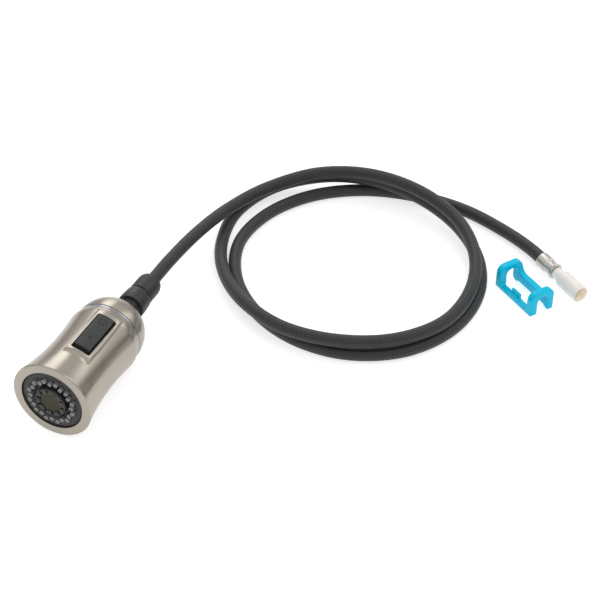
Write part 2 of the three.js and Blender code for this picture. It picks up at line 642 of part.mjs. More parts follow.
function aeratorScreen() {
  const radius = AERATOR_RADIUS - AERATOR_WALL - GAP;
  const front = -AERATOR_PROUD + AERATOR_NOTCH_DEPTH - 0.1;
  return turned([
    [0, front - 0.4], [radius * 0.6, front - 0.25], [radius, front], [radius, front + 0.5],
    [0, front + 0.4],
  ]);
}

function aeratorCore() {
  const radius = AERATOR_RADIUS - AERATOR_WALL - GAP;
  const front = -AERATOR_PROUD + AERATOR_NOTCH_DEPTH + 1;
  const disc = turned([
    [0, front], [radius, front], [radius, front + 1.8], [3, front + 1.8], [1.2, front + 4.6],
    [0, front + 4.6],
  ]);
  const ways = aroundAxis(6, 0, (angle) => {
    return rod(1, front - CUT, front + 3, 6).translate(5.4 * Math.sin(angle), 0, 5.4 * Math.cos(angle));
  });
  return cutFrom(disc, ways);
}

// ---- Rear of the head ----
function trimRing() {
  const inner = shellBore(SHOULDER_AT) - 2;
  return turned([
    [inner, TRIM_AT], [TRIM_RADIUS, TRIM_AT], [TRIM_RADIUS + 0.15, TRIM_AT + TRIM_WIDTH / 2],
    [TRIM_RADIUS, TRIM_AT + TRIM_WIDTH], [inner, TRIM_AT + TRIM_WIDTH],
  ], FINE);
}

function rearCarrier() {
  const front = BEZEL_REAR + GAP;
  const outer = shellBore(front) - GAP;
  return tube(NECK_RADIUS + GAP, outer, front, SHELL_END - GAP);
}

function rearCollar() {
  const stations = [[0, 0], [0.2, 0.08], [0.5, 0.34], [0.78, 0.68], [0.95, 0.9], [1, 1]];
  const outer = stations.map(([along, share]) => {
    return [COLLAR_FRONT_RADIUS - COLLAR_DROP * share, COLLAR_AT + COLLAR_LENGTH * along];
  });
  const wallEnd = COLLAR_END - COLLAR_WALL;
  const inner = stations.slice(0, 4).reverse().map(([along, share]) => {
    return [COLLAR_FRONT_RADIUS - COLLAR_DROP * share - COLLAR_WALL, COLLAR_AT + COLLAR_LENGTH * along];
  });
  return turned([
    ...outer, [COLLAR_MOUTH, COLLAR_END], [COLLAR_MOUTH, wallEnd],
    [inner[0][0] - 0.8, wallEnd], ...inner,
  ], FINE);
}

function swivelNut() {
  const bore = STEM_RADIUS + 0.4;
  const cavityAt = NUT_END - NUT_CAVITY;
  const thread = INLET_RADIUS - GAP;
  const body = turned([
    [bore, NUT_FRONT], [thread, NUT_FRONT], [thread, NUT_SHOULDER], [NUT_NECK_RADIUS, NUT_SHOULDER],
    [NUT_NECK_RADIUS, SKIRT_AT], [NUT_SKIRT_RADIUS, SKIRT_AT], [NUT_SKIRT_RADIUS, SKIRT_AT + 2],
    [NUT_END_RADIUS + 0.2, NUT_END - 1], [NUT_END_RADIUS - 0.3, NUT_END], [NUT_CAVITY_RADIUS, NUT_END],
    [NUT_CAVITY_RADIUS, cavityAt], [bore, cavityAt],
  ]);
  const ribs = aroundAxis(NUT_RIBS, 0, (angle) => {
    return block(-0.4, 0.4, COLLAR_END - 2, SKIRT_AT + 0.5, NUT_NECK_RADIUS - 0.5,
      NUT_NECK_RADIUS + 0.7).rotateY(angle);
  });
  return join([body, ...ribs]);
}

function swivelRetainer() {
  const at = NUT_END - NUT_CAVITY + 4.4;
  return tube(STEM_RADIUS + 0.4, NUT_CAVITY_RADIUS - GAP, at, at + 1.6, COARSE);
}

// ---- Hose side of the swivel ----
function swivelStem() {
  const groove = STEM_RADIUS - 0.8;
  const front = NUT_FRONT + 3;
  const flangeAt = NUT_END - NUT_CAVITY + 1.6;
  const profile = [[STEM_BORE, front], [STEM_RADIUS, front]];
  for (const at of stemSealPlaces()) {
    profile.push([STEM_RADIUS, at - 0.7], [groove, at - 0.7], [groove, at + 0.7], [STEM_RADIUS, at + 0.7]);
  }
  profile.push([STEM_RADIUS, flangeAt], [STEM_FLANGE, flangeAt], [STEM_FLANGE, flangeAt + 2.4],
    [STEM_RADIUS, flangeAt + 2.4], [STEM_RADIUS, HOSE_AT - GAP], [STEM_BORE, HOSE_AT - GAP]);
  return turned(profile, COARSE);
}

function stemSealPlaces() {
  return [NUT_FRONT + 6, NUT_FRONT + 10];
}

function swivelSleeve() {
  const hoseHole = HOSE_RADIUS + 0.5;
  const cavity = SLEEVE_RADIUS - SLEEVE_WALL - 0.3;
  const frontWall = SLEEVE_AT + SLEEVE_WALL;
  return turned([
    [STEM_RADIUS + GAP, SLEEVE_AT], [SLEEVE_RADIUS - 0.4, SLEEVE_AT], [SLEEVE_RADIUS, SLEEVE_AT + 0.6],
    [SLEEVE_RADIUS - 0.3, SLEEVE_END - 4.4], [SLEEVE_RADIUS - 0.8, SLEEVE_END - 1.6],
    [SLEEVE_END_RADIUS + 0.5, SLEEVE_END - 0.5], [SLEEVE_END_RADIUS, SLEEVE_END], [hoseHole, SLEEVE_END],
    [hoseHole, SLEEVE_END - SLEEVE_WALL], [cavity, SLEEVE_END - SLEEVE_WALL - 1], [cavity, frontWall],
    [STEM_RADIUS + GAP, frontWall],
  ]);
}

function headFerrule() {
  return tube(FERRULE_BORE, FERRULE_BORE + FERRULE_WALL, HOSE_AT, HOSE_AT + HEAD_FERRULE_LENGTH, COARSE);
}

// ---- Hose ----
function hose(start, end) {
  const path = new THREE.CatmullRomCurve3([
    start, ...HOSE_ROUTE.map((point) => new THREE.Vector3(...point)), end,
  ], false, "centripetal");
  const section = new THREE.Shape();
  for (let i = 0; i < HOSE_SIDES; i++) {
    const angle = (i / HOSE_SIDES) * 2 * Math.PI;
    const corner = [HOSE_RADIUS * Math.cos(angle), HOSE_RADIUS * Math.sin(angle)];
    if (i === 0) section.moveTo(...corner);
    else section.lineTo(...corner);
  }
  section.closePath();
  return new THREE.ExtrudeGeometry(section, { steps: HOSE_STEPS, extrudePath: path, bevelEnabled: false });
}

// ---- Quick connector; distances run from the start of the tail ferrule to the mouth ----
function tailFerrule() {
  const outer = FERRULE_BORE + FERRULE_WALL;
  const stemHole = TAIL_STEM_RADIUS + GAP;
  const step = HOSE_IN_FERRULE + GAP;
  return turned([
    [FERRULE_BORE, 0], [outer, 0], [outer, TAIL_NECKING], [outer - 0.5, TAIL_NECKING + 0.8],
    [outer - 0.5, TAIL_FERRULE_LENGTH], [stemHole, TAIL_FERRULE_LENGTH], [stemHole, step],
    [FERRULE_BORE, step],
  ]);
}

function tailStem() {
  const bore = TAIL_STEM_RADIUS - 0.8;
  const end = CONNECTOR_AT + CONNECTOR_NECK_LENGTH + 2;
  return turned([
    [bore, HOSE_IN_FERRULE + GAP], [TAIL_STEM_RADIUS, HOSE_IN_FERRULE + GAP], [TAIL_STEM_RADIUS, BEAD_AT],
    [BEAD_RADIUS - 0.4, BEAD_AT], [BEAD_RADIUS, BEAD_AT + BEAD_WIDTH / 2],
    [BEAD_RADIUS - 0.4, BEAD_AT + BEAD_WIDTH],
    [TAIL_STEM_RADIUS, BEAD_AT + BEAD_WIDTH], [TAIL_STEM_RADIUS, end], [bore, end],
  ], COARSE);
}

function connectorBody() {
  const neckBore = TAIL_STEM_RADIUS + GAP;
  const neckEnd = CONNECTOR_AT + CONNECTOR_NECK_LENGTH;
  const socketAt = MOUTH_AT - SOCKET_DEPTH;
  const groove = SOCKET_RADIUS + 0.4;
  return turned([
    [neckBore, CONNECTOR_AT], [CONNECTOR_NECK_RADIUS, CONNECTOR_AT], [CONNECTOR_NECK_RADIUS, neckEnd],
    [CONNECTOR_RADIUS - 0.9, neckEnd + 1], [CONNECTOR_RADIUS - 0.1, neckEnd + 3],
    [CONNECTOR_RADIUS, MOUTH_AT - 6],
    [CONNECTOR_RADIUS - 0.2, MOUTH_AT], [SOCKET_RADIUS, MOUTH_AT], [SOCKET_RADIUS, socketAt + 2.6],
    [groove, socketAt + 2.6], [groove, socketAt + 1], [SOCKET_RADIUS, socketAt + 1],
    [SOCKET_RADIUS, socketAt], [neckBore, socketAt],
  ]);
}

function connectorSeal() {
  const socketAt = MOUTH_AT - SOCKET_DEPTH;
  return sealRing(SOCKET_RADIUS - 0.9, SOCKET_RADIUS + 0.2, socketAt + 1.8);
}

// ---- Lock clip; X along it, Y away from the front rail, Z up, corner at the origin ----
function archOutline() {
  const shape = new THREE.Shape();
  const rearLeg = CLIP_DEPTH - CLIP_REAR_LEG;
  const notchRadius = (rearLeg - CLIP_FRONT_LEG) / 2;
  const notchTop = CLIP_HEIGHT - CLIP_TOP - notchRadius;
  const corner = CLIP_CORNER_RADIUS;
  shape.moveTo(0, 0);
  shape.lineTo(CLIP_FRONT_LEG, 0);
  shape.lineTo(CLIP_FRONT_LEG, notchTop);
  shape.absarc(CLIP_FRONT_LEG + notchRadius, notchTop, notchRadius, Math.PI, 0, true);
  shape.lineTo(rearLeg, 0);
  shape.lineTo(CLIP_DEPTH, 0);
  shape.lineTo(CLIP_DEPTH, CLIP_HEIGHT - corner);
  shape.absarc(CLIP_DEPTH - corner, CLIP_HEIGHT - corner, corner, 0, Math.PI / 2);
  shape.lineTo(corner, CLIP_HEIGHT);
  shape.absarc(corner, CLIP_HEIGHT - corner, corner, Math.PI / 2, Math.PI);
  shape.lineTo(0, 0);
  return shape;
}

// The outline (along the clip, height) is cut through a range of depths.
function cutAcross(points, y0, y1) {
  const shape = new THREE.Shape(points.map(([x, z]) => new THREE.Vector2(x, z)));
  const geometry = new THREE.ExtrudeGeometry(shape, { depth: y1 - y0, bevelEnabled: false });
  return geometry.rotateX(Math.PI / 2).translate(0, y1, 0);
}

function roundedValley(x0, x1, bottom, radius, top) {
  const points = [[x0, top]];
  const steps = 4;
  for (let i = 0; i <= steps; i++) {
    const angle = Math.PI + (i / steps) * (Math.PI / 2);
    points.push([x0 + radius + radius * Math.cos(angle), bottom + radius + radius * Math.sin(angle)]);
  }
  for (let i = 0; i <= steps; i++) {
    const angle = 1.5 * Math.PI + (i / steps) * (Math.PI / 2);
    points.push([x1 - radius + radius * Math.cos(angle), bottom + radius + radius * Math.sin(angle)]);
  }
  points.push([x1, top]);
  return points;
}

// The rounded lower corner of a leg that starts at x, from a height down to its tip.
function legCorner(x, height) {
  const points = [];
  const steps = 5;
  const first = Math.acos(1 - height / CLIP_TIP_CORNER);
  for (let i = 0; i <= steps; i++) {
    const angle = first * (1 - i / steps);
    points.push([x + CLIP_TIP_CORNER * (Math.sin(first) - Math.sin(angle)),
      CLIP_TIP_CORNER * (1 - Math.cos(angle))]);
  }
  const [end] = points[points.length - 1];
  points.push([end, -CUT]);
  return points;
}

function lockClip() {
  const saddle = new THREE.ExtrudeGeometry(archOutline(), {
    depth: CLIP_LENGTH, bevelEnabled: false, curveSegments: 6,
  });
  saddle.rotateX(Math.PI / 2).rotateZ(Math.PI / 2);
  const x0 = CLIP_ARCH;
  const x1 = CLIP_LENGTH - CLIP_ARCH;
  const half = CLIP_DEPTH / 2;
  const top = CLIP_HEIGHT + CUT;
  const frontValley = cutAcross(roundedValley(x0, x1, CLIP_RAIL, CLIP_RAIL_CORNER, top), -CUT, half + 0.5);
  const scoop = roundedValley(x0, x1, CLIP_SCOOP, CLIP_SCOOP_CORNER, top);
  const backValley = cutAcross(scoop, half - 0.5, CLIP_DEPTH + CUT);
  const under = cutAcross([[x0, -CUT], [x0, CLIP_TIP], [x1, CLIP_TIP], ...legCorner(x1, CLIP_TIP)],
    half + 0.5, CLIP_DEPTH + CUT);
  const outerTip = cutAcross([[-CUT, -CUT], [-CUT, CLIP_TIP_CORNER], ...legCorner(0, CLIP_TIP_CORNER)],
    half + 0.5, CLIP_DEPTH + CUT);
  const middle = CLIP_LENGTH / 2;
  const railInside = block(x0, x1, CLIP_RAIL_DEPTH, half, -CUT, top);
  const tab = block(middle - CLIP_TAB_WIDTH / 2, middle + CLIP_TAB_WIDTH / 2,
    CLIP_RAIL_DEPTH - CLIP_TAB_THICKNESS, CLIP_RAIL_DEPTH, CLIP_RAIL - 0.5, CLIP_RAIL + CLIP_TAB_HEIGHT);
  return join([cutFrom(saddle, [frontValley, railInside, backValley, under, outerTip]), tab]);
}

// ---- Assembly ----
function headFrame(roll) {
  const group = new THREE.Group();
  group.position.set(HEAD_X, FACE_Y, FACE_Z);
  group.rotation.set(-TILT, rad(roll), 0);
  return group;
}

function onHeadAxis(at) {
  return new THREE.Vector3(HEAD_X, FACE_Y + at * Math.cos(TILT), FACE_Z - at * Math.sin(TILT));
}

function sprayHead() {
  const head = headFrame(HEAD_ROLL);
  addPiece(head, "bell_shell", bellShell(), nickel);
  addPiece(head, "trim_ring", trimRing(), steel);
  addPiece(head, "rear_collar", rearCollar(), nickel);
  addPiece(head, "rear_carrier", rearCarrier(), blackPlastic);
  addPiece(head, "valve_body", valveBody(), greyPlastic);
  addPiece(head, "diverter_spool", diverterSpool(), greyPlastic);
  addPiece(head, "spool_seal_front", spoolSeal(-1), rubber);
  addPiece(head, "spool_seal_rear", spoolSeal(1), rubber);
  addPiece(head, "spool_plug", spoolPlug(), greyPlastic);
  addPiece(head, "check_valve", checkValve(), siliconeGrey);
  addPiece(head, "inlet_screen", inletScreen(), steel);
  addPiece(head, "inlet_washer", inletWasher(), rubber);
  addPiece(head, "rocker_cradle", rockerCradle(), blackPlastic);
  addPiece(head, "rocker_pin", rockerPin(), steel);
  addPiece(head, "button_liner", buttonLiner(), rubber);
  const rocker = addPiece(head, "rocker_button", rockerButton(), blackPlastic);
  rocker.position.set(0, PIVOT_AT, PIVOT_HEIGHT);
  rocker.rotation.x = rad(ROCKER_REST_TILT);
  addPiece(head, "front_carrier", frontCarrier(), blackPlastic);
  screwPlaces().forEach(([x, z], i) => {
    addPiece(head, `carrier_screw_${i + 1}`, carrierScrew(x, z), steel);
  });
  addPiece(head, "flow_plate", flowPlate(), blackPlastic);
  addPiece(head, "nozzle_mat", nozzleMat(), siliconeGrey);
  addPiece(head, "face_plate", facePlate(), blackPlastic);
  addPiece(head, "aerator_housing", aeratorHousing(), blackPlastic);
  addPiece(head, "aerator_screen", aeratorScreen(), steel);
  addPiece(head, "aerator_core", aeratorCore(), blackPlastic);
  addPiece(head, "aerator_seal", sealRing(4, 4.9, (FLOOR_BACK + BODY_FRONT) / 2), rubber);
  addPiece(head, "swivel_nut", swivelNut(), blackPlastic);
  addPiece(head, "swivel_retainer", swivelRetainer(), steel);
  return head;
}

function hoseLine() {
  const group = new THREE.Group();
  const swivel = headFrame(0);
  addPiece(swivel, "swivel_stem", swivelStem(), brass);
  stemSealPlaces().forEach((at, i) => {
    addPiece(swivel, `stem_seal_${i + 1}`, sealRing(STEM_RADIUS - 0.7, STEM_RADIUS + 0.2, at), rubber);
  });
  addPiece(swivel, "swivel_sleeve", swivelSleeve(), blackPlastic);
  addPiece(swivel, "head_ferrule", headFerrule(), steel);
  const tail = new THREE.Group();
  tail.position.set(...CONNECTOR_START, CONNECTOR_RADIUS);
  tail.rotation.z = rad(CONNECTOR_TURN - 90);
  addPiece(tail, "tail_ferrule", tailFerrule(), steel);
  addPiece(tail, "tail_stem", tailStem(), steel);
  addPiece(tail, "connector_body", connectorBody(), whitePlastic);
  addPiece(tail, "connector_seal", connectorSeal(), rubber);
  const turn = rad(CONNECTOR_TURN);
  const hoseEnd = new THREE.Vector3(
    CONNECTOR_START[0] + HOSE_IN_FERRULE * Math.cos(turn),
    CONNECTOR_START[1] + HOSE_IN_FERRULE * Math.sin(turn),
    CONNECTOR_RADIUS,
  );
  addPiece(group, "hose", hose(onHeadAxis(HOSE_AT), hoseEnd), braid);
  group.add(swivel, tail);
  return group;
}

function looseClip() {
  const group = new THREE.Group();
  group.position.set(...CLIP_CORNER, 0);
  group.rotation.z = rad(CLIP_TURN);
  addPiece(group, "lock_clip", lockClip(), bluePlastic);
  return group;
}

const sprayer = new THREE.Group();
sprayer.add(sprayHead(), hoseLine(), looseClip());
export default sprayer;
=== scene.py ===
"""A pull-out handheld sprayer: bell-shaped head, rotary swivel, braided hose, quick connector, lock clip.

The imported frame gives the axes; every visible piece is made again around them with fine surfaces.
Lengths are in metres. On the head, distances along the axis are counted backwards from the spray face.
"""
import json
import math

import bmesh
import bpy
from bpy.props import FloatProperty, FloatVectorProperty, IntProperty, PointerProperty
from mathutils import Matrix, Vector


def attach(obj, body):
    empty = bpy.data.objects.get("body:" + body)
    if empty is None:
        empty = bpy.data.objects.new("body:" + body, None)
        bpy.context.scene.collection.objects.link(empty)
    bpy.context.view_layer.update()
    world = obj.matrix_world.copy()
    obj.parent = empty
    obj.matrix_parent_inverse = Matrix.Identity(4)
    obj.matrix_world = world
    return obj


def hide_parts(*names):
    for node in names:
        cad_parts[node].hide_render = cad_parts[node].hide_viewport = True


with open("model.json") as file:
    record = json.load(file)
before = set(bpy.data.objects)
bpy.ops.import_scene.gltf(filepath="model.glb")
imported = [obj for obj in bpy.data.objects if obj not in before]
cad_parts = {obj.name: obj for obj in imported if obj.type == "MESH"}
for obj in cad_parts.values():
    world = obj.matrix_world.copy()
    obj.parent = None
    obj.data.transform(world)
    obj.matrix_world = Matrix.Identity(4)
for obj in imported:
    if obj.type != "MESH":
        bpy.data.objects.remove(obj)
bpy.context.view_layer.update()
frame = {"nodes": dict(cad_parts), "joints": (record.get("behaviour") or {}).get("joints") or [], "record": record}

bl_info = {
    "name": "Pull-out handheld sprayer",
    "version": (1, 0, 0),
    "blender": (4, 5, 0),
    "location": "3D View > Sidebar > Sprayer",
    "description": "Makes the visible pieces of a pull-out handheld sprayer around its packed frame",
    "category": "Object",
}

MM = 0.001
FULL_TURN = 2 * math.pi
FINE_STEPS = 192
MEDIUM_STEPS = 96
SMALL_STEPS = 32


# ---- Units, colours and properties ----
def linear(code):
    """An sRGB hex code as linear red, green and blue."""
    parts = [int(code[i:i + 2], 16) / 255 for i in (1, 3, 5)]
    return tuple(c / 12.92 if c <= 0.04045 else ((c + 0.055) / 1.055) ** 2.4 for c in parts)


def length(label, description, millimetres):
    return FloatProperty(name=label, description=description, default=millimetres * MM,
                         min=0, unit="LENGTH", subtype="DISTANCE", precision=4)


def colour(label, description, code):
    return FloatVectorProperty(name=label, description=description, default=linear(code),
                               size=3, min=0, max=1, subtype="COLOR")


class SPRAYER_PG_head(bpy.types.PropertyGroup):
    """Sizes of the spray head."""
    rim_radius: length("Rim radius", "Outer radius of the flared rim", 28.8)
    waist_radius: length("Waist radius", "Smallest outer radius of the shell", 24.5)
    waist_at: length("Waist distance", "Waist's distance behind the face", 42)
    shoulder_radius: length("Shoulder radius", "Outer radius at the shoulder", 26.4)
    shoulder_at: length("Shoulder distance", "Shoulder's distance behind the face", 71)
    shell_end: length("Shell end", "End of the shell behind the face", 73.2)
    wall: length("Wall", "Thickness of the shell", 1.8)
    face_opening: length("Face opening", "Radius of the opening in the rim", 22.6)
    bezel_half_width: length("Bezel half width", "Half the width of the raised frame", 8.3)
    bezel_front: length("Bezel front", "Front of the raised frame behind the face", 24)
    bezel_rear: length("Bezel rear", "Rear of the raised frame behind the face", 67.5)
    opening_half_width: length("Opening half width", "Half the width of the rocker's opening", 7.1)
    opening_front: length("Opening front", "Front of the rocker's opening", 26)
    opening_rear: length("Opening rear", "Rear of the rocker's opening", 63.7)
    trim_at: length("Trim distance", "Front of the bright trim ring", 73.5)
    trim_width: length("Trim width", "Width of the bright trim ring", 1.2)
    collar_at: length("Collar distance", "Front of the rear collar", 75)
    collar_length: length("Collar length", "Length of the rear collar", 15.8)
    collar_radius: length("Collar radius", "Front radius of the rear collar", 24.6)
    collar_drop: length("Collar drop", "How far the collar narrows", 5.4)
    collar_mouth: length("Collar mouth", "Radius of the collar's opening", 11.8)


class SPRAYER_PG_rocker(bpy.types.PropertyGroup):
    """Sizes of the rocker button."""
    half_width: length("Half width", "Half the rocker's width", 6.1)
    half_length: length("Half length", "Half the rocker's length", 17.45)
    top: length("Top", "Top above the pivot", 5.9)
    depth: length("Depth", "Depth of the rocker", 6.9)
    edge: length("Edge", "Rounding of the rocker's top edges", 0.45)
    tilt: FloatProperty(name="Tilt", description="Tilt at rest, with the rear pressed in",
                        default=math.radians(-3), unit="ROTATION", subtype="ANGLE")


class SPRAYER_PG_face(bpy.types.PropertyGroup):
    """Sizes of the spray face."""
    plate_radius: length("Plate radius", "Radius of the black face plate", 22.3)
    plate_recess: length("Plate recess", "How far the plate lies behind the rim", 1)
    nozzles: IntProperty(name="Nozzles", description="Number of spray nozzles", default=24, min=2)
    outer_pitch: length("Outer pitch", "Radius of the outer nozzle circle", 16.4)
    inner_pitch: length("Inner pitch", "Radius of the inner nozzle circle", 15.1)
    nozzle_base: length("Nozzle base", "Radius of a nozzle at the plate", 1.6)
    nozzle_tip: length("Nozzle tip", "Radius of a nozzle at its tip", 1.4)
    nozzle_proud: length("Nozzle height", "How far a nozzle stands out of the rim's plane", 1.7)
    aerator_radius: length("Aerator radius", "Outer radius of the aerator housing", 11.1)
    aerator_bore: length("Aerator bore", "Bore of the aerator housing", 7.4)
    aerator_proud: length("Aerator height", "How far the housing stands out", 2.2)
    notches: IntProperty(name="Notches", description="Notches in the housing's ring", default=10, min=2)
    screen_pitch: length("Screen pitch", "Distance between the screen's wires", 1.5)


class SPRAYER_PG_line(bpy.types.PropertyGroup):
    """Sizes of the swivel, the hose and its connector."""
    nut_neck: length("Nut neck", "Radius of the nut inside the collar", 7.6)
    nut_radius: length("Nut radius", "Radius of the nut's skirt", 10)
    sleeve_radius: length("Sleeve radius", "Radius of the hose sleeve", 8.9)
    sleeve_end: length("Sleeve end", "Radius of the sleeve at the hose", 7)
    hose_radius: length("Hose radius", "Outer radius of the braid", 4.7)
    braid_pitch: length("Braid pitch", "Length of one crossing of the braid", 1.9)
    braid_rows: IntProperty(name="Braid rows", description="Crossings around the hose", default=8, min=4)
    ferrule_radius: length("Ferrule radius", "Radius of the crimped ferrule", 5.65)
    bead_radius: length("Bead radius", "Radius of the bead behind the ferrule", 5.8)
    connector_radius: length("Connector radius", "Radius of the white connector", 6.4)
    connector_neck: length("Connector neck", "Radius of the connector's neck", 4.4)
    socket_radius: length("Socket radius", "Bore of the connector", 5.5)
    socket_depth: length("Socket depth", "Depth of the connector's bore", 16)


class SPRAYER_PG_clip(bpy.types.PropertyGroup):
    """Sizes of the lock clip."""
    span: length("Length", "Length of the clip", 41.6)
    depth: length("Depth", "Depth across the two rails", 20.2)
    height: length("Height", "Height of the arches", 18.5)
    arch: length("Arch", "Thickness of each arch along the clip", 5.2)
    leg: length("Front leg", "Width of the front legs", 5.9)
    rear_leg: length("Rear leg", "Width of the rear legs", 4.9)
    top: length("Top", "Material above the notch", 4.2)
    rail: length("Rail", "Height of the front rail", 4)
    rail_depth: length("Rail depth", "Depth of the front rail", 4)
    scoop: length("Scoop", "Lowest height of the back rail", 9)
    edge: length("Edge", "Rounding of the edges", 1.0)


class SPRAYER_PG_colours(bpy.types.PropertyGroup):
    """Colours of the finishes."""
    nickel: colour("Nickel", "Brushed nickel of the shell and collar", "#a8a196")
    bright: colour("Trim", "Polished trim ring", "#aeb3bb")
    steel: colour("Steel", "Polished stainless steel", "#bcb9b3")
    mesh: colour("Screen", "Woven wire of the aerator", "#6a6757")
    black: colour("Black plastic", "Face plate, nut and sleeve", "#262727")
    rocker: colour("Rocker", "Rocker button", "#2c2d2d")
    grey: colour("Silicone", "Spray nozzles", "#757674")
    rubber: colour("Rubber", "Seals and liner", "#0c0c0c")
    braid: colour("Braid", "Nylon braid of the hose", "#101111")
    # Paler colour painted on the braid's crowns: a painted highlight.
    crown_highlight: colour("Crown highlight", "Painted highlight on the braid's crowns", "#3e4143")
    white: colour("White plastic", "Quick connector", "#e4dfd8")
    # Warm tint of the connector's bore: painted light, for daylight through the white wall.
    bore_light: colour("Bore light tint", "Inside of the connector", "#faeedd")
    blue: colour("Blue plastic", "Lock clip", "#00b9dc")
    brass: colour("Brass", "Swivel stem", "#b08d4a")


# ---- Frames taken from the joints and mounts ----
JOINTS = {joint["name"]: joint for joint in frame["joints"]}
MOUNTS = {mount["name"]: mount for mount in frame["record"]["mounts"]}
SWIVEL_AT = 119.2 * MM           # the swivel joint's point behind the face
MOUTH_AT = 46.7 * MM             # the connector's mouth behind the start of the ferrule
HOSE_AT = 124.4 * MM
SLEEVE_AT = 119.6 * MM
SLEEVE_END_AT = 137 * MM
HOSE_IN_FERRULE = 9 * MM
CLIP_TURN = math.radians(-34.5)
CLIP_FOOT = Vector((20.8, 2.4, 0)) * MM


def axes_at(origin, along, across):
    """A matrix whose Y runs along, whose X is nearest to across, and whose origin is given."""
    y = Vector(along).normalized()
    z = Vector(across).cross(y).normalized()
    matrix = Matrix((y.cross(z), y, z)).transposed().to_4x4()
    matrix.translation = origin
    return matrix


BACKWARDS = Vector(JOINTS["swivel_spin"]["axis"]).normalized()
HEAD = axes_at(Vector(JOINTS["swivel_spin"]["pos_m"]) - BACKWARDS * SWIVEL_AT, BACKWARDS,
               JOINTS["rocker_tilt"]["axis"])
OUTWARDS = Vector(JOINTS["connector_spin"]["axis"]).normalized()
TAIL = axes_at(Vector(JOINTS["connector_spin"]["pos_m"]) - OUTWARDS * MOUTH_AT, OUTWARDS,
               OUTWARDS.cross(Vector((0, 0, 1))))
ROCKER = axes_at(JOINTS["rocker_tilt"]["pos_m"], BACKWARDS, JOINTS["rocker_tilt"]["axis"])
CLIP = (Matrix.Translation(MOUNTS["clip_feet"]["pos_m"]) @ Matrix.Rotation(CLIP_TURN, 4, "Z")
        @ Matrix.Translation(-CLIP_FOOT))

# The hose's route after it leaves the sleeve: two loops, the upper one riding on the lower one, and
# the tail passing below both. The same points as the frame's own hose.
HOSE_ROUTE = [
    (-0.115, 0.028, 0.0235), (-0.113, 0.068, 0.0205), (-0.1075, 0.1075, 0.016), (-0.092, 0.1445, 0.015),
    (-0.062, 0.1705, 0.02), (-0.0235, 0.1805, 0.024), (0.0165, 0.1795, 0.022), (0.0535, 0.1645, 0.0175),
    (0.079, 0.134, 0.015), (0.09, 0.0955, 0.0143), (0.085, 0.0555, 0.0145), (0.061, 0.024, 0.015),
    (0.025, 0.006, 0.0155), (-0.015, 0.0035, 0.015), (-0.0525, 0.0185, 0.0135), (-0.0815, 0.046, 0.0095),
    (-0.1005, 0.081, 0.0055), (-0.1065, 0.1205, 0.0048), (-0.0925, 0.158, 0.006), (-0.0595, 0.1795, 0.0115),
    (-0.02, 0.1865, 0.0145), (0.0195, 0.183, 0.0115), (0.056, 0.1665, 0.007), (0.0825, 0.1365, 0.0048),
    (0.094, 0.098, 0.0048), (0.0885, 0.0585, 0.0048), (0.066, 0.0255, 0.0048), (0.0305, 0.007, 0.0048),
    (-0.0095, 0.0065, 0.0048), (-0.0465, 0.0225, 0.0048), (-0.0745, 0.051, 0.0048), (-0.089, 0.0885, 0.0048),
    (-0.0835, 0.128, 0.0048), (-0.062, 0.1615, 0.0048), (-0.0285, 0.184, 0.0048), (0.0105, 0.1935, 0.0048),
    (0.0505, 0.192, 0.0048), (0.089, 0.179, 0.0052), (0.1124, 0.1664, 0.006),
]


# ---- Mesh helpers ----
def turned(profile, steps=MEDIUM_STEPS):
    """A solid of revolution about local Y from (radius, distance) corners."""
    bm = bmesh.new()
    corners = [bm.verts.new((radius, along, 0)) for radius, along in profile]
    pairs = list(zip(corners, corners[1:]))
    if profile[0][0] > 0:
        pairs.append((corners[-1], corners[0]))
    edges = [bm.edges.new(pair) for pair in pairs]
    bmesh.ops.spin(bm, geom=corners + edges, cent=(0, 0, 0), axis=(0, 1, 0), angle=FULL_TURN,
                   steps=steps, use_merge=True)
    bmesh.ops.remove_doubles(bm, verts=bm.verts, dist=0.001 * MM)
    bmesh.ops.recalc_face_normals(bm, faces=bm.faces)
    return bm


def rounded(bm, width, segments=3, sharper=math.radians(28), where=None):
    """Rounds the edges that bend more than the given angle."""
    edges = [e for e in bm.edges if len(e.link_faces) == 2 and e.calc_face_angle(0) > sharper
             and (where is None or where(e))]
    bmesh.ops.bevel(bm, geom=edges, offset=width, offset_type="OFFSET", segments=segments,
                    profile=0.5, affect="EDGES", clamp_overlap=True, material=-1)
    return bm


def slab(low, high, corner=0.0, segments=6):
    """A block whose upright edges are rounded."""
    bm = bmesh.new()
    bmesh.ops.create_cube(bm, size=1)
    low, high = Vector(low), Vector(high)
    bmesh.ops.scale(bm, vec=high - low, verts=bm.verts)
    bmesh.ops.translate(bm, vec=(low + high) / 2, verts=bm.verts)
    if corner:
        upright = [e for e in bm.edges if abs((e.verts[0].co - e.verts[1].co).z) > 0.5 * (high - low).z]
        bmesh.ops.bevel(bm, geom=upright, offset=corner, offset_type="OFFSET", segments=segments,
                        profile=0.5, affect="EDGES", material=-1)
    return bm


def arched(x0, x1, y0, y1, z0, z1, corner, segments=10):
    """A block along X whose two upper long edges are rounded."""
    bm = slab((x0, y0, z0), (x1, y1, z1))
    upper = [e for e in bm.edges if min(v.co.z for v in e.verts) > (z0 + z1) / 2
             and abs((e.verts[0].co - e.verts[1].co).x) > 0.5 * (x1 - x0)]
    bmesh.ops.bevel(bm, geom=upper, offset=corner, offset_type="OFFSET", segments=segments,
                    profile=0.5, affect="EDGES", material=-1)
    return bm


def valley(x0, x1, y0, y1, bottom, top, corner, segments=8):
    """A block across Y whose two lower edges are rounded, to cut a saddle."""
    bm = slab((x0, y0, bottom), (x1, y1, top))
    lower = [e for e in bm.edges if max(v.co.z for v in e.verts) < (bottom + top) / 2
             and abs((e.verts[0].co - e.verts[1].co).y) > 0.5 * (y1 - y0)]
    bmesh.ops.bevel(bm, geom=lower, offset=corner, offset_type="OFFSET", segments=segments,
                    profile=0.5, affect="EDGES", material=-1)
    return bm


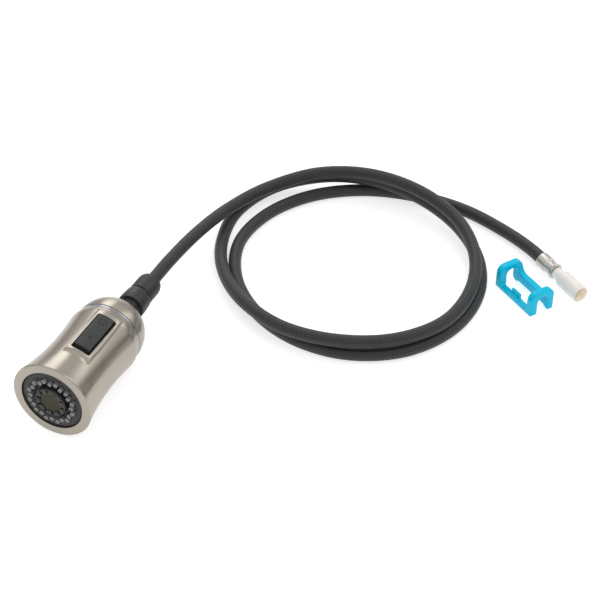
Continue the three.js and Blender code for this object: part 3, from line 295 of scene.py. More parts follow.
def moved(bm, matrix):
    bmesh.ops.transform(bm, matrix=matrix, verts=bm.verts)
    return bm


def gathered(parts):
    """Several separate solids gathered in one mesh."""
    whole = bmesh.new()
    for part in parts:
        mesh = bpy.data.meshes.new("part")
        part.to_mesh(mesh)
        part.free()
        whole.from_mesh(mesh)
        bpy.data.meshes.remove(mesh)
    return whole


def loose_object(bm):
    mesh = bpy.data.meshes.new("loose")
    bm.to_mesh(mesh)
    bm.free()
    loose = bpy.data.objects.new("loose", mesh)
    bpy.context.scene.collection.objects.link(loose)
    return loose


def combined(bm, tool, operation="DIFFERENCE"):
    """Cuts the tool out of a solid, or joins it on."""
    body, cutter = loose_object(bm), loose_object(tool)
    modifier = body.modifiers.new("combine", "BOOLEAN")
    modifier.operation = operation
    modifier.solver = "EXACT"
    modifier.object = cutter
    result = bmesh.new()
    result.from_object(body, bpy.context.evaluated_depsgraph_get())
    for done in (body, cutter):
        mesh = done.data
        bpy.data.objects.remove(done)
        bpy.data.meshes.remove(mesh)
    bmesh.ops.remove_doubles(result, verts=result.verts, dist=0.002 * MM)
    return result


def softened(bm, cell, rounds):
    """Remeshes a solid in small cells and relaxes it, which rounds all of its edges."""
    body = loose_object(bm)
    remesh = body.modifiers.new("cells", "REMESH")
    remesh.mode = "VOXEL"
    remesh.voxel_size = cell
    relax = body.modifiers.new("relax", "SMOOTH")
    relax.factor = 0.5
    relax.iterations = rounds
    result = bmesh.new()
    result.from_object(body, bpy.context.evaluated_depsgraph_get())
    mesh = body.data
    bpy.data.objects.remove(body)
    bpy.data.meshes.remove(mesh)
    return result


def shaded(bm, sharper=math.radians(35)):
    """Smooth faces, with the corners that are left kept crisp."""
    for face in bm.faces:
        face.smooth = True
    for edge in bm.edges:
        edge.smooth = len(edge.link_faces) != 2 or edge.calc_face_angle(0) < sharper
    return bm


def piece(name, bm, place, material, body, slot, *nodes):
    """Puts a finished mesh where it belongs and makes it stand for its CAD nodes."""
    shaded(moved(bm, place))
    mesh = bpy.data.meshes.new(name)
    bm.to_mesh(mesh)
    bm.free()
    for finish in material if isinstance(material, list) else [material]:
        mesh.materials.append(finish)
    made = bpy.data.objects.new(name, mesh)
    bpy.context.scene.collection.objects.link(made)
    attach(made, body)
    if nodes:
        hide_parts(*nodes)
    return made


def ring_of(count, make, offset=0.0):
    """The same solid turned about local Y to each place."""
    return gathered([moved(make(i), Matrix.Rotation(offset + i / count * FULL_TURN, 4, "Y"))
                     for i in range(count)])


# ---- Materials ----
def add_node(tree, kind, inputs=None, **settings):
    """Adds a node with its settings, values and links."""
    made = tree.nodes.new(kind)
    for name, value in settings.items():
        setattr(made, name, value)
    for socket, value in (inputs or {}).items():
        if isinstance(value, bpy.types.NodeSocket):
            tree.links.new(value, made.inputs[socket])
        else:
            made.inputs[socket].default_value = value
    return made


def new_material(name, **values):
    """An empty material with one principled shader; returns material, tree and shader."""
    made = bpy.data.materials.new(name)
    made.use_nodes = True
    tree = made.node_tree
    shader = tree.nodes["Principled BSDF"]
    for socket, value in values.items():
        shader.inputs[socket.replace("_", " ")].default_value = value
    return made, tree, shader


def rgba(value, factor=1.0):
    return (*[min(1.0, channel * factor) for channel in value], 1.0)


def local_coordinates(tree, place):
    """Coordinates of a piece's own frame, in metres."""
    back = place.inverted()
    coordinates = add_node(tree, "ShaderNodeTexCoord")
    mapping = add_node(tree, "ShaderNodeMapping", {
        "Vector": coordinates.outputs["Object"],
        "Location": back.translation,
        "Rotation": back.to_euler("XYZ"),
    }, vector_type="POINT")
    return mapping.outputs["Vector"]


def scaled(tree, vector, across, along, up=None):
    """Coordinates counted in pattern lengths, given in millimetres for local X, Y and Z."""
    sizes = (across, along, across if up is None else up)
    return add_node(tree, "ShaderNodeVectorMath", {
        0: vector, 1: [1 / (size * MM) for size in sizes],
    }, operation="MULTIPLY").outputs["Vector"]


def drive_roughness(tree, shader, source, low, high):
    ranged = add_node(tree, "ShaderNodeMapRange", {"Value": source, "From Min": 0.3, "From Max": 0.7,
                                                   "To Min": low, "To Max": high})
    tree.links.new(ranged.outputs["Result"], shader.inputs["Roughness"])


def brushed_nickel(name, base, place):
    """Nickel plate over zinc, brushed round the axis on a lathe: satin, with fine rings and long streaks."""
    made, tree, shader = new_material(name, Metallic=1.0, Anisotropic=0.75, Anisotropic_Rotation=0.25)
    local = local_coordinates(tree, place)
    # Brush rings a third of a millimetre apart, drawn coarser than the real grit so that they show.
    rings = add_node(tree, "ShaderNodeTexNoise", {
        "Vector": scaled(tree, local, 22, 0.34), "Scale": 1.0, "Detail": 3.0, "Roughness": 0.6})
    # Broad clouds, a few centimetres wide, from handling and plating.
    clouds = add_node(tree, "ShaderNodeTexNoise", {
        "Vector": scaled(tree, local, 26, 34), "Scale": 1.0, "Detail": 2.0})
    tone = add_node(tree, "ShaderNodeMixRGB", {
        "Fac": rings.outputs["Fac"], "Color1": rgba(base, 0.9), "Color2": rgba(base, 1.06)})
    tree.links.new(tone.outputs["Color"], shader.inputs["Base Color"])
    blend = add_node(tree, "ShaderNodeMixRGB", {
        "Fac": 0.35, "Color1": rings.outputs["Fac"], "Color2": clouds.outputs["Fac"]})
    drive_roughness(tree, shader, blend.outputs["Color"], 0.25, 0.36)
    bump = add_node(tree, "ShaderNodeBump", {
        "Height": rings.outputs["Fac"], "Strength": 0.22, "Distance": 0.02 * MM})
    tree.links.new(bump.outputs["Normal"], shader.inputs["Normal"])
    tangent = add_node(tree, "ShaderNodeTangent", direction_type="RADIAL", axis="Y")
    tree.links.new(tangent.outputs["Tangent"], shader.inputs["Tangent"])
    return made


def turned_steel(name, base, place, rough=(0.3, 0.4), pitch=0.5):
    """Steel turned and polished: bright, with faint tool rings and a few duller patches."""
    made, tree, shader = new_material(name, Metallic=1.0)
    shader.inputs["Base Color"].default_value = rgba(base)
    local = local_coordinates(tree, place)
    rings = add_node(tree, "ShaderNodeTexNoise", {
        "Vector": scaled(tree, local, 12, pitch), "Scale": 1.0, "Detail": 2.0})
    drive_roughness(tree, shader, rings.outputs["Fac"], *rough)
    bump = add_node(tree, "ShaderNodeBump", {
        "Height": rings.outputs["Fac"], "Strength": 0.15, "Distance": 0.015 * MM})
    tree.links.new(bump.outputs["Normal"], shader.inputs["Normal"])
    return made


def moulded_plastic(name, base, rough=(0.38, 0.52), grain=0.45, relief=0.02, shine=0.5):
    """Injection-moulded plastic: an even colour with a fine spark-eroded grain and slightly duller areas."""
    made, tree, shader = new_material(name, IOR=1.45, Specular_IOR_Level=shine)
    coordinates = add_node(tree, "ShaderNodeTexCoord").outputs["Object"]
    grains = add_node(tree, "ShaderNodeTexNoise", {
        "Vector": scaled(tree, coordinates, grain, grain), "Scale": 1.0, "Detail": 3.0})
    patches = add_node(tree, "ShaderNodeTexNoise", {
        "Vector": scaled(tree, coordinates, 9, 9), "Scale": 1.0, "Detail": 2.0})
    tone = add_node(tree, "ShaderNodeMixRGB", {
        "Fac": patches.outputs["Fac"], "Color1": rgba(base, 0.9), "Color2": rgba(base, 1.1)})
    tree.links.new(tone.outputs["Color"], shader.inputs["Base Color"])
    drive_roughness(tree, shader, patches.outputs["Fac"], *rough)
    bump = add_node(tree, "ShaderNodeBump", {
        "Height": grains.outputs["Fac"], "Strength": 0.3, "Distance": relief * MM})
    tree.links.new(bump.outputs["Normal"], shader.inputs["Normal"])
    return made


def soft_rubber(name, base):
    """Moulded rubber: dull and nearly black, with a faint bloom."""
    return moulded_plastic(name, base, rough=(0.6, 0.78), grain=0.6, relief=0.03)


def clear_silicone(name, base, place=None):
    """Liquid silicone: milky grey; given a place, the thin tips are painted paler where light passes through them,
    a painted highlight.
    """
    made = moulded_plastic(name, base, rough=(0.25, 0.38), grain=0.8, relief=0.01)
    if place:
        tree = made.node_tree
        shader = tree.nodes["Principled BSDF"]
        inner = shader.inputs["Base Color"].links[0].from_socket
        along = add_node(tree, "ShaderNodeSeparateXYZ", {"Vector": local_coordinates(tree, place)})
        # Painted highlight: the base colour grows paler towards the nozzle tips, where they catch the light.
        tip = add_node(tree, "ShaderNodeMapRange", {
            "Value": along.outputs["Y"], "From Min": -1.2 * MM, "From Max": -1.65 * MM})
        tone = add_node(tree, "ShaderNodeMixRGB", {
            "Fac": tip.outputs["Result"], "Color1": inner, "Color2": rgba(base, 1.8)})
        tree.links.new(tone.outputs["Color"], shader.inputs["Base Color"])
    return made


def woven_braid(name, colours, sizes):
    """Tight nylon braid: strands cross in rows along the hose, and their crowns catch the light as dots; the
    crowns are also painted paler, a painted highlight.
    The hose's own map holds turns around the hose in U and metres along it in V."""
    made, tree, shader = new_material(name, IOR=1.53, Sheen_Weight=0.08, Sheen_Roughness=0.4)
    uv = add_node(tree, "ShaderNodeUVMap", uv_map="around_and_along")
    split = add_node(tree, "ShaderNodeSeparateXYZ", {"Vector": uv.outputs["UV"]})
    rows = add_node(tree, "ShaderNodeMath", {0: split.outputs["X"], 1: float(sizes.braid_rows)},
                    operation="MULTIPLY").outputs["Value"]
    beats = add_node(tree, "ShaderNodeMath", {0: split.outputs["Y"], 1: 1 / sizes.braid_pitch},
                     operation="MULTIPLY").outputs["Value"]
    # Two families of strands, one each way round; where both swell there is a crown.
    swells = []
    for sense in ("ADD", "SUBTRACT"):
        phase = add_node(tree, "ShaderNodeMath", {0: rows, 1: beats}, operation=sense)
        angle = add_node(tree, "ShaderNodeMath", {0: phase.outputs["Value"], 1: FULL_TURN},
                         operation="MULTIPLY")
        wave = add_node(tree, "ShaderNodeMath", {0: angle.outputs["Value"]}, operation="COSINE")
        swells.append(add_node(tree, "ShaderNodeMapRange", {
            "Value": wave.outputs["Value"], "From Min": -1.0, "From Max": 1.0}).outputs["Result"])
    crown = add_node(tree, "ShaderNodeMath", {0: swells[0], 1: swells[1]}, operation="MULTIPLY")
    crown_highlight_mask = add_node(tree, "ShaderNodeMapRange", {
        "Value": crown.outputs["Value"], "From Min": 0.45, "From Max": 0.95,
    }, interpolation_type="SMOOTHSTEP")
    # Single filaments, far finer than a strand and drawn out along the hose.
    filaments = add_node(tree, "ShaderNodeTexNoise", {
        "Vector": uv.outputs["UV"], "Scale": 900.0, "Detail": 2.0})
    cloth = add_node(tree, "ShaderNodeMixRGB", {
        "Fac": filaments.outputs["Fac"], "Color1": rgba(colours.braid, 0.6),
        "Color2": rgba(colours.braid, 1.4)})
    # Painted highlight: where the strands crown, the base colour turns to the paler crown colour.
    tone = add_node(tree, "ShaderNodeMixRGB", {
        "Fac": crown_highlight_mask.outputs["Result"], "Color1": cloth.outputs["Color"], "Color2": rgba(colours.crown_highlight)})
    tree.links.new(tone.outputs["Color"], shader.inputs["Base Color"])
    drive_roughness(tree, shader, filaments.outputs["Fac"], 0.42, 0.6)
    height = add_node(tree, "ShaderNodeMath", {
        0: filaments.outputs["Fac"], 1: 0.12, 2: crown.outputs["Value"],
    }, operation="MULTIPLY_ADD")
    bump = add_node(tree, "ShaderNodeBump", {
        "Height": height.outputs["Value"], "Strength": 0.8, "Distance": 0.35 * MM})
    tree.links.new(bump.outputs["Normal"], shader.inputs["Normal"])
    return made


# ---- Bell shell ----
FLARE_POWER = 2.1
SHOULDER_POWER = 1.8
SHOULDER_TURNS = 64.5 * MM
SHOULDER_FALL = 1.7 * MM
RIM_AT = 1 * MM
RIM_ROUNDING = 0.7 * MM
RIM_THICKNESS = 1.6 * MM
STATION = 0.7 * MM               # distance between the rings of the shell's mesh
MESH_HALVINGS = (3.5 * MM, 2.2 * MM)     # reach of each halving round the raised frame
TRIM_INSET = 0.42 * MM
TRIM_DEPTH = 4 * MM
COLLAR_RINGS = 24
COLLAR_POWER = 2.1
BEZEL_CORNER = 2.4 * MM
OPENING_CORNER = 1.8 * MM
LIP_ROUNDING = 0.35 * MM
SIDE_FILLET = 1.7 * MM
FRONT_RISE = 1.3 * MM
FRONT_SLOPE = 3.2 * MM
FILLET_POWER = 2.1
FRONT_POWER = 1.7


def shell_radius(head, at):
    """Outer radius of the flared shell at a distance behind the face."""
    if at < head.waist_at:
        forward = (head.waist_at - at) / (head.waist_at - RIM_AT)
        return head.waist_radius + (head.rim_radius - head.waist_radius) * forward ** FLARE_POWER
    backward = (at - head.waist_at) / (head.shoulder_at - head.waist_at)
    round_over = max((at - SHOULDER_TURNS) / (head.shoulder_at - SHOULDER_TURNS), 0.0)
    return (head.waist_radius + (head.shoulder_radius - head.waist_radius) * backward ** SHOULDER_POWER
            - SHOULDER_FALL * round_over ** 2)


def outside_of_frame(x, at, half_width, front, rear, corner):
    """Distance outside a rounded rectangle, negative inside."""
    middle, half_length = (front + rear) / 2, (rear - front) / 2
    qx = abs(x) - half_width + corner
    qy = abs(at - middle) - half_length + corner
    return math.hypot(max(qx, 0), max(qy, 0)) + min(max(qx, qy), 0) - corner


def quarter_drop(distance, radius):
    """How far a rounded edge has fallen at a distance from its end."""
    if distance >= radius:
        return 0.0
    return radius - math.sqrt(max(radius ** 2 - (radius - max(distance, 0.0)) ** 2, 0.0))


def bezel_lift(head, x, at):
    """Radius of the shell with its raised frame, at a place across and behind."""
    base = shell_radius(head, at)
    forward = (head.bezel_rear - at) / (head.bezel_rear - head.bezel_front)
    rise = max(head.shoulder_radius + FRONT_RISE * min(max(forward, 0.0), 1.0) - base, 0.0)
    out = outside_of_frame(x, at, head.bezel_half_width, head.bezel_front, head.bezel_rear, BEZEL_CORNER)
    if out > 0:
        across = min(max((abs(x) - head.bezel_half_width) / SIDE_FILLET, 0.0), 1.0)
        ahead = min(max((head.bezel_front - at) / FRONT_SLOPE, 0.0), 1.0)
        behind = min(max((at - head.bezel_rear) / SIDE_FILLET, 0.0), 1.0)
        side = (1 - across) ** FILLET_POWER * (1 - behind) ** FILLET_POWER
        wall = (1 - ahead) ** FRONT_POWER
        corner = 1.0 if ahead == 0 or across == 0 else (1 - 0.35 * ahead)
        return base + (rise - LIP_ROUNDING) * side * wall * corner
    inside = outside_of_frame(x, at, head.opening_half_width, head.opening_front, head.opening_rear,
                              OPENING_CORNER)
    top = base + rise - min(quarter_drop(-out, LIP_ROUNDING), rise)
    return top - quarter_drop(inside, LIP_ROUNDING)


def bell_shell_mesh(head):
    stations = math.ceil((head.shoulder_at - RIM_AT) / STATION)
    outer = [(head.face_opening, 0), (head.rim_radius - RIM_ROUNDING, 0)]
    for i in range(1, 4):
        angle = i / 4 * math.pi / 2
        outer.append((head.rim_radius - RIM_ROUNDING * (1 - math.sin(angle)),
                      RIM_AT * (1 - math.cos(angle))))
    for i in range(stations + 1):
        at = RIM_AT + i / stations * (head.shoulder_at - RIM_AT)
        outer.append((shell_radius(head, at), at))
    end = outer[-1][0]
    outer.append((end - 0.15 * MM, head.shell_end - 0.4 * MM))
    outer.append((end - 0.4 * MM, head.shell_end))
    inner = []
    for i in range(8, 0, -1):
        at = RIM_THICKNESS + i / 8 * (head.shoulder_at - RIM_THICKNESS)
        inner.append((shell_radius(head, at) - head.wall, at))
    inner = [(inner[0][0], head.shell_end), *inner,
             (shell_radius(head, RIM_THICKNESS) - head.wall, RIM_THICKNESS),
             (head.face_opening, RIM_THICKNESS)]
    bm = turned([*outer, *inner], FINE_STEPS)
    for reach in MESH_HALVINGS:
        refine_round_bezel(bm, head, reach)
    for vert in bm.verts:
        x, at, z = vert.co
        radius = math.hypot(x, z)
        on_outside = radius > shell_radius(head, at) - 0.3 * head.wall
        if z > 0 and RIM_AT < at < head.shoulder_at and on_outside:
            lifted = bezel_lift(head, x, at)
            vert.co.x *= lifted / radius
            vert.co.z *= lifted / radius
    opening = slab((-head.opening_half_width, head.opening_front, 0.4 * head.waist_radius),
                   (head.opening_half_width, head.opening_rear, head.rim_radius + 2 * MM), OPENING_CORNER)
    return combined(bm, opening)


def refine_round_bezel(bm, head, reach):
    """Halves the shell's mesh where the raised frame and its fillets are."""
    near = set()
    for face in bm.faces:
        centre = face.calc_center_median()
        if centre.z < 0 or math.hypot(centre.x, centre.z) < shell_radius(head, centre.y) - 0.3 * head.wall:
            continue
        front = head.bezel_front - FRONT_SLOPE + SIDE_FILLET
        out = outside_of_frame(centre.x, centre.y, head.bezel_half_width, front, head.bezel_rear,
                               BEZEL_CORNER)
        inside = outside_of_frame(centre.x, centre.y, head.opening_half_width, head.opening_front,
                                  head.opening_rear, OPENING_CORNER)
        if out < reach and inside > -1.5 * MM:
            near.update(face.edges)
    bmesh.ops.subdivide_edges(bm, edges=list(near), cuts=1, use_grid_fill=True)


class SPRAYER_OT_shell(bpy.types.Operator):
    """Make the bell-shaped shell, the trim ring and the rear collar"""
    bl_idname = "sprayer.shell"
    bl_label = "Shell and collar"

    def execute(self, context):
        head, colours = context.scene.sprayer_head, context.scene.sprayer_colours
        nickel = brushed_nickel("Brushed nickel plate", colours.nickel, HEAD)
        bright = turned_steel("Polished chromed trim", colours.bright, HEAD, rough=(0.08, 0.16))
        piece("shell", bell_shell_mesh(head), HEAD, nickel, "spray_head", "brushed_nickel", "bell_shell")
        piece("trim", self.trim_mesh(head), HEAD, bright, "spray_head", "polished_trim", "trim_ring")
        piece("collar", self.collar_mesh(head), HEAD, nickel, "spray_head", "brushed_nickel", "rear_collar")
        return {"FINISHED"}

    def trim_mesh(self, head):
        radius = head.shoulder_radius - SHOULDER_FALL - TRIM_INSET
        inner = radius - TRIM_DEPTH
        end = head.trim_at + head.trim_width
        return rounded(turned([(inner, head.trim_at), (radius, head.trim_at), (radius, end), (inner, end)],
                              FINE_STEPS), 0.3 * MM)

    def collar_mesh(self, head):
        end = head.collar_at + head.collar_length
        outer = []
        for i in range(COLLAR_RINGS + 1):
            share = i / COLLAR_RINGS
            outer.append((head.collar_radius - head.collar_drop * share ** COLLAR_POWER,
                          head.collar_at + head.collar_length * share))
        edge = outer[-1][0]
        inner = [(radius - head.wall, at) for radius, at in reversed(outer[:18:3])]
        profile = [*outer, (head.collar_mouth, end), (head.collar_mouth, end - head.wall),
                   (edge - head.wall, end - head.wall), *inner]
        return rounded(turned(profile, FINE_STEPS), 0.35 * MM, sharper=math.radians(40))


# ---- Rocker ----
ROCKER_CORNER = 1.6 * MM
SIDE_DRAFT = 0.55 * MM
MARK_HEIGHT = 0.06 * MM
DOT_RADIUS = 0.5 * MM
DOT_CIRCLE = 2.6 * MM
DOTS = 8
DROP_RADIUS = 0.65 * MM
DROP_POINT = 0.9 * MM
SPRAY_MARK = (-0.4 * MM, 11.2 * MM)
STREAM_MARK = (0.2 * MM, -6.6 * MM)


class SPRAYER_OT_rocker(bpy.types.Operator):
    """Make the rocker button with its two small marks"""
    bl_idname = "sprayer.rocker"
    bl_label = "Rocker"

    def execute(self, context):
        sizes, colours = context.scene.sprayer_rocker, context.scene.sprayer_colours
        tilted = ROCKER @ Matrix.Rotation(sizes.tilt, 4, "X")
        satin = moulded_plastic("Satin black ABS", colours.rocker, rough=(0.3, 0.42), grain=0.5)
        ink = moulded_plastic("Black pad print", colours.rubber, rough=(0.5, 0.6), shine=0.1)
        body = slab((-sizes.half_width, -sizes.half_length, sizes.top - sizes.depth),
                    (sizes.half_width, sizes.half_length, sizes.top), ROCKER_CORNER)
        for vert in body.verts:
            if vert.co.z > sizes.top - MM:
                vert.co.x *= 1 - SIDE_DRAFT / sizes.half_width
                vert.co.y *= 1 - SIDE_DRAFT / sizes.half_length
        rounded(body, sizes.edge, segments=4, where=lambda e: min(v.co.z for v in e.verts) > sizes.top - MM)
        piece("rocker", body, tilted, satin, "rocker", "rocker_plastic", "rocker_button")
        piece("rocker_marks", self.marks(sizes.top), tilted, ink, "rocker", "rocker_plastic")
        return {"FINISHED"}

    def marks(self, top):
        parts = []
        for i in range(DOTS):
            angle = i / DOTS * FULL_TURN
            parts.append(self.disc(DOT_RADIUS, SPRAY_MARK[0] + DOT_CIRCLE * math.cos(angle),
                                   SPRAY_MARK[1] + DOT_CIRCLE * math.sin(angle), top, 0.0))
        parts.append(self.disc(DROP_RADIUS, *STREAM_MARK, top, DROP_POINT))
        return gathered(parts)

    def disc(self, radius, x, y, top, stretch):
        """A flat dot, drawn out to a point towards the front where stretch is given."""
        bm = bmesh.new()
        bmesh.ops.create_circle(bm, cap_ends=True, radius=radius, segments=16)
        bm.verts.ensure_lookup_table()
        min(bm.verts, key=lambda v: v.co.y).co.y -= stretch
        lifted = bmesh.ops.extrude_face_region(bm, geom=bm.faces[:])
        bmesh.ops.translate(bm, vec=(0, 0, MARK_HEIGHT),
                            verts=[v for v in lifted["geom"] if isinstance(v, bmesh.types.BMVert)])
        bmesh.ops.recalc_face_normals(bm, faces=bm.faces)
        return moved(bm, Matrix.Translation((x, y, top - 0.5 * MARK_HEIGHT)))


# ---- Spray face ----
PLATE_BACK = 3.4 * MM
MAT_FRONT = 3.7 * MM
MAT_BACK = 4.9 * MM
MAT_INNER = 9.7 * MM
MAT_OUTER = 21.7 * MM
NOZZLE_BORE = 0.6 * MM
NOZZLE_GAP = 0.25 * MM
SPIGOT_RADIUS = 9.3 * MM
SPIGOT_END = 8.3 * MM
JET_RADIUS = 3 * MM
CORE_SEAT = 6.9 * MM             # back of the room that the aerator's core sits in
NOTCH_HALF_WIDTH = 0.85 * MM
NOTCH_DEPTH = 1.2 * MM
SCREEN_AT = -1.1 * MM
SCREEN_BULGE = 0.4 * MM
WIRE_THICKNESS = 0.42 * MM


class SPRAYER_OT_face(bpy.types.Operator):
    """Make the face plate, its nozzles and the aerator"""
    bl_idname = "sprayer.face"
    bl_label = "Spray face"

    def execute(self, context):
        face, colours = context.scene.sprayer_face, context.scene.sprayer_colours
        black = moulded_plastic("Grained black ABS", colours.black, rough=(0.36, 0.5))
        silicone = clear_silicone("Grey liquid silicone", colours.grey, HEAD)
        wire = turned_steel("Woven stainless wire", colours.mesh, HEAD, rough=(0.3, 0.45))
        piece("face", self.plate(face), HEAD, black, "spray_head", "black_plastic", "face_plate")
        piece("nozzles", self.nozzles(face), HEAD, silicone, "spray_head", "grey_silicone", "nozzle_mat")
        piece("aerator", self.housing(face), HEAD, black, "spray_head", "black_plastic", "aerator_housing")
        piece("screen", self.screen(face), HEAD, [wire, black], "spray_head", "steel_mesh", "aerator_screen")
        return {"FINISHED"}

    def places(self, face):
        for i in range(face.nozzles):
            pitch = face.inner_pitch if i % 2 else face.outer_pitch
            angle = i / face.nozzles * FULL_TURN
            yield Matrix.Translation((pitch * math.sin(angle), 0, pitch * math.cos(angle)))

    def plate(self, face):
        at = face.plate_recess
        bore = face.aerator_radius + 0.4 * MM
        profile = [
            (bore, at + 1.2 * MM), (bore + 1.2 * MM, at + 1.2 * MM), (bore + 2.1 * MM, at + 0.1 * MM),
            (face.outer_pitch + 2.4 * MM, at - 0.25 * MM), (face.plate_radius - 0.7 * MM, at),
            (face.plate_radius - 0.5 * MM, at + 0.3 * MM), (face.plate_radius, at + 0.3 * MM),
            (face.plate_radius, PLATE_BACK), (bore, PLATE_BACK),
        ]
        plate = rounded(turned(profile, FINE_STEPS), 0.15 * MM, segments=2)
        wide = face.nozzle_base + NOZZLE_GAP
        hole = [(0, -5 * MM), (wide, -5 * MM), (wide, 8 * MM), (0, 8 * MM)]
        cutters = gathered([moved(turned(hole, SMALL_STEPS), place) for place in self.places(face)])
        return combined(plate, cutters)

    def nozzles(self, face):
        tip, base = face.nozzle_tip, face.nozzle_base
        front = -face.nozzle_proud
        cone = [
            (NOZZLE_BORE, front + 0.5 * MM), (NOZZLE_BORE + 0.12 * MM, front), (tip - 0.3 * MM, front),
            (tip, front + 0.3 * MM), (tip + 0.05 * MM, front + 0.9 * MM), (base - 0.05 * MM, 0.4 * MM),
            (base, face.plate_recess), (base, MAT_BACK - 0.3 * MM), (0, MAT_BACK - 0.3 * MM),
            (0, MAT_BACK - 1.2 * MM), (NOZZLE_BORE, MAT_BACK - 1.4 * MM),
        ]
        cone = [corner for corner in cone if corner[0] > 0]
        cone += [(NOZZLE_BORE, MAT_BACK - 0.3 * MM)]
        disc = turned([(MAT_INNER, MAT_FRONT), (MAT_OUTER, MAT_FRONT), (MAT_OUTER, MAT_BACK),
                       (MAT_INNER, MAT_BACK)])
        cones = [moved(turned(cone, SMALL_STEPS), place) for place in self.places(face)]
        return gathered([disc, *cones])

    def housing(self, face):
        radius, bore, front = face.aerator_radius, face.aerator_bore, -face.aerator_proud
        profile = [
            (bore, front + 0.5 * MM), (bore + 0.5 * MM, front), (radius - 0.5 * MM, front),
            (radius, front + 0.5 * MM), (radius, PLATE_BACK), (SPIGOT_RADIUS, PLATE_BACK),
            (SPIGOT_RADIUS, SPIGOT_END), (JET_RADIUS, SPIGOT_END), (JET_RADIUS, CORE_SEAT), (bore, CORE_SEAT),
        ]
        body = rounded(turned(profile, FINE_STEPS), 0.12 * MM, segments=2)
        notch = [(-NOTCH_HALF_WIDTH, -6 * MM, bore - MM),
                 (NOTCH_HALF_WIDTH, front + NOTCH_DEPTH, radius - 0.8 * MM)]
        cutters = ring_of(face.notches, lambda i: slab(*notch), offset=0.2)
        return combined(body, cutters)

    def screen(self, face):
        """A net of wires over the bore, in a thin rim; it bulges a little."""
        radius = face.aerator_bore - 0.3 * MM
        cells = 2 * math.ceil(radius / face.screen_pitch)
        net = bmesh.new()
        bmesh.ops.create_grid(net, x_segments=cells, y_segments=cells, size=cells / 2 * face.screen_pitch)
        outside = [v for v in net.verts if v.co.to_2d().length > radius - 0.3 * MM]
        bmesh.ops.delete(net, geom=outside, context="VERTS")
        bmesh.ops.rotate(net, cent=(0, 0, 0), matrix=Matrix.Rotation(math.pi / 2, 3, "X"), verts=net.verts)
        for vert in net.verts:
            vert.co.y = -SCREEN_BULGE * (1 - (math.hypot(vert.co.x, vert.co.z) / radius) ** 2)
        bmesh.ops.wireframe(net, faces=net.faces, thickness=WIRE_THICKNESS, use_replace=True,
                            use_even_offset=True, use_boundary=True)
        rim = rounded(turned([(radius - 0.5 * MM, -0.2 * MM), (radius, -0.2 * MM), (radius, 0.5 * MM),
                              (radius - 0.5 * MM, 0.5 * MM)]), 0.12 * MM)
        # Painted shade: a dark disc just behind the net, so that the gaps between the wires read dark like the
        # shaded bore.
        shade_backing = turned([(0, 0.25 * MM), (radius - 0.4 * MM, 0.25 * MM), (radius - 0.4 * MM, 0.5 * MM),
                          (0, 0.5 * MM)])
        for wall in shade_backing.faces:
            wall.material_index = 1
        return moved(gathered([net, rim, shade_backing]), Matrix.Translation((0, SCREEN_AT, 0)))


# ---- Swivel ----
NUT_FRONT = 86.3 * MM
SKIRT_AT = 105.5 * MM
NUT_END = 118.8 * MM
NUT_BORE = 4.4 * MM
CAVITY_RADIUS = 6.6 * MM
CAVITY_AT = 104.8 * MM
THREAD_RADIUS = 8 * MM
THREAD_AT = 71.6 * MM
NUT_RIBS = 8
RIBS_AT = 88 * MM
RIB_HALF_WIDTH = 0.4 * MM
RIB_HEIGHT = 0.75 * MM
SLEEVE_HOLE = 4.3 * MM
SLEEVE_ROOM = 2 * MM             # room round the stem inside the sleeve
HOSE_CLEARANCE = 0.35 * MM
LUGS = 5
LUG_HALF_WIDTH = 1.1 * MM


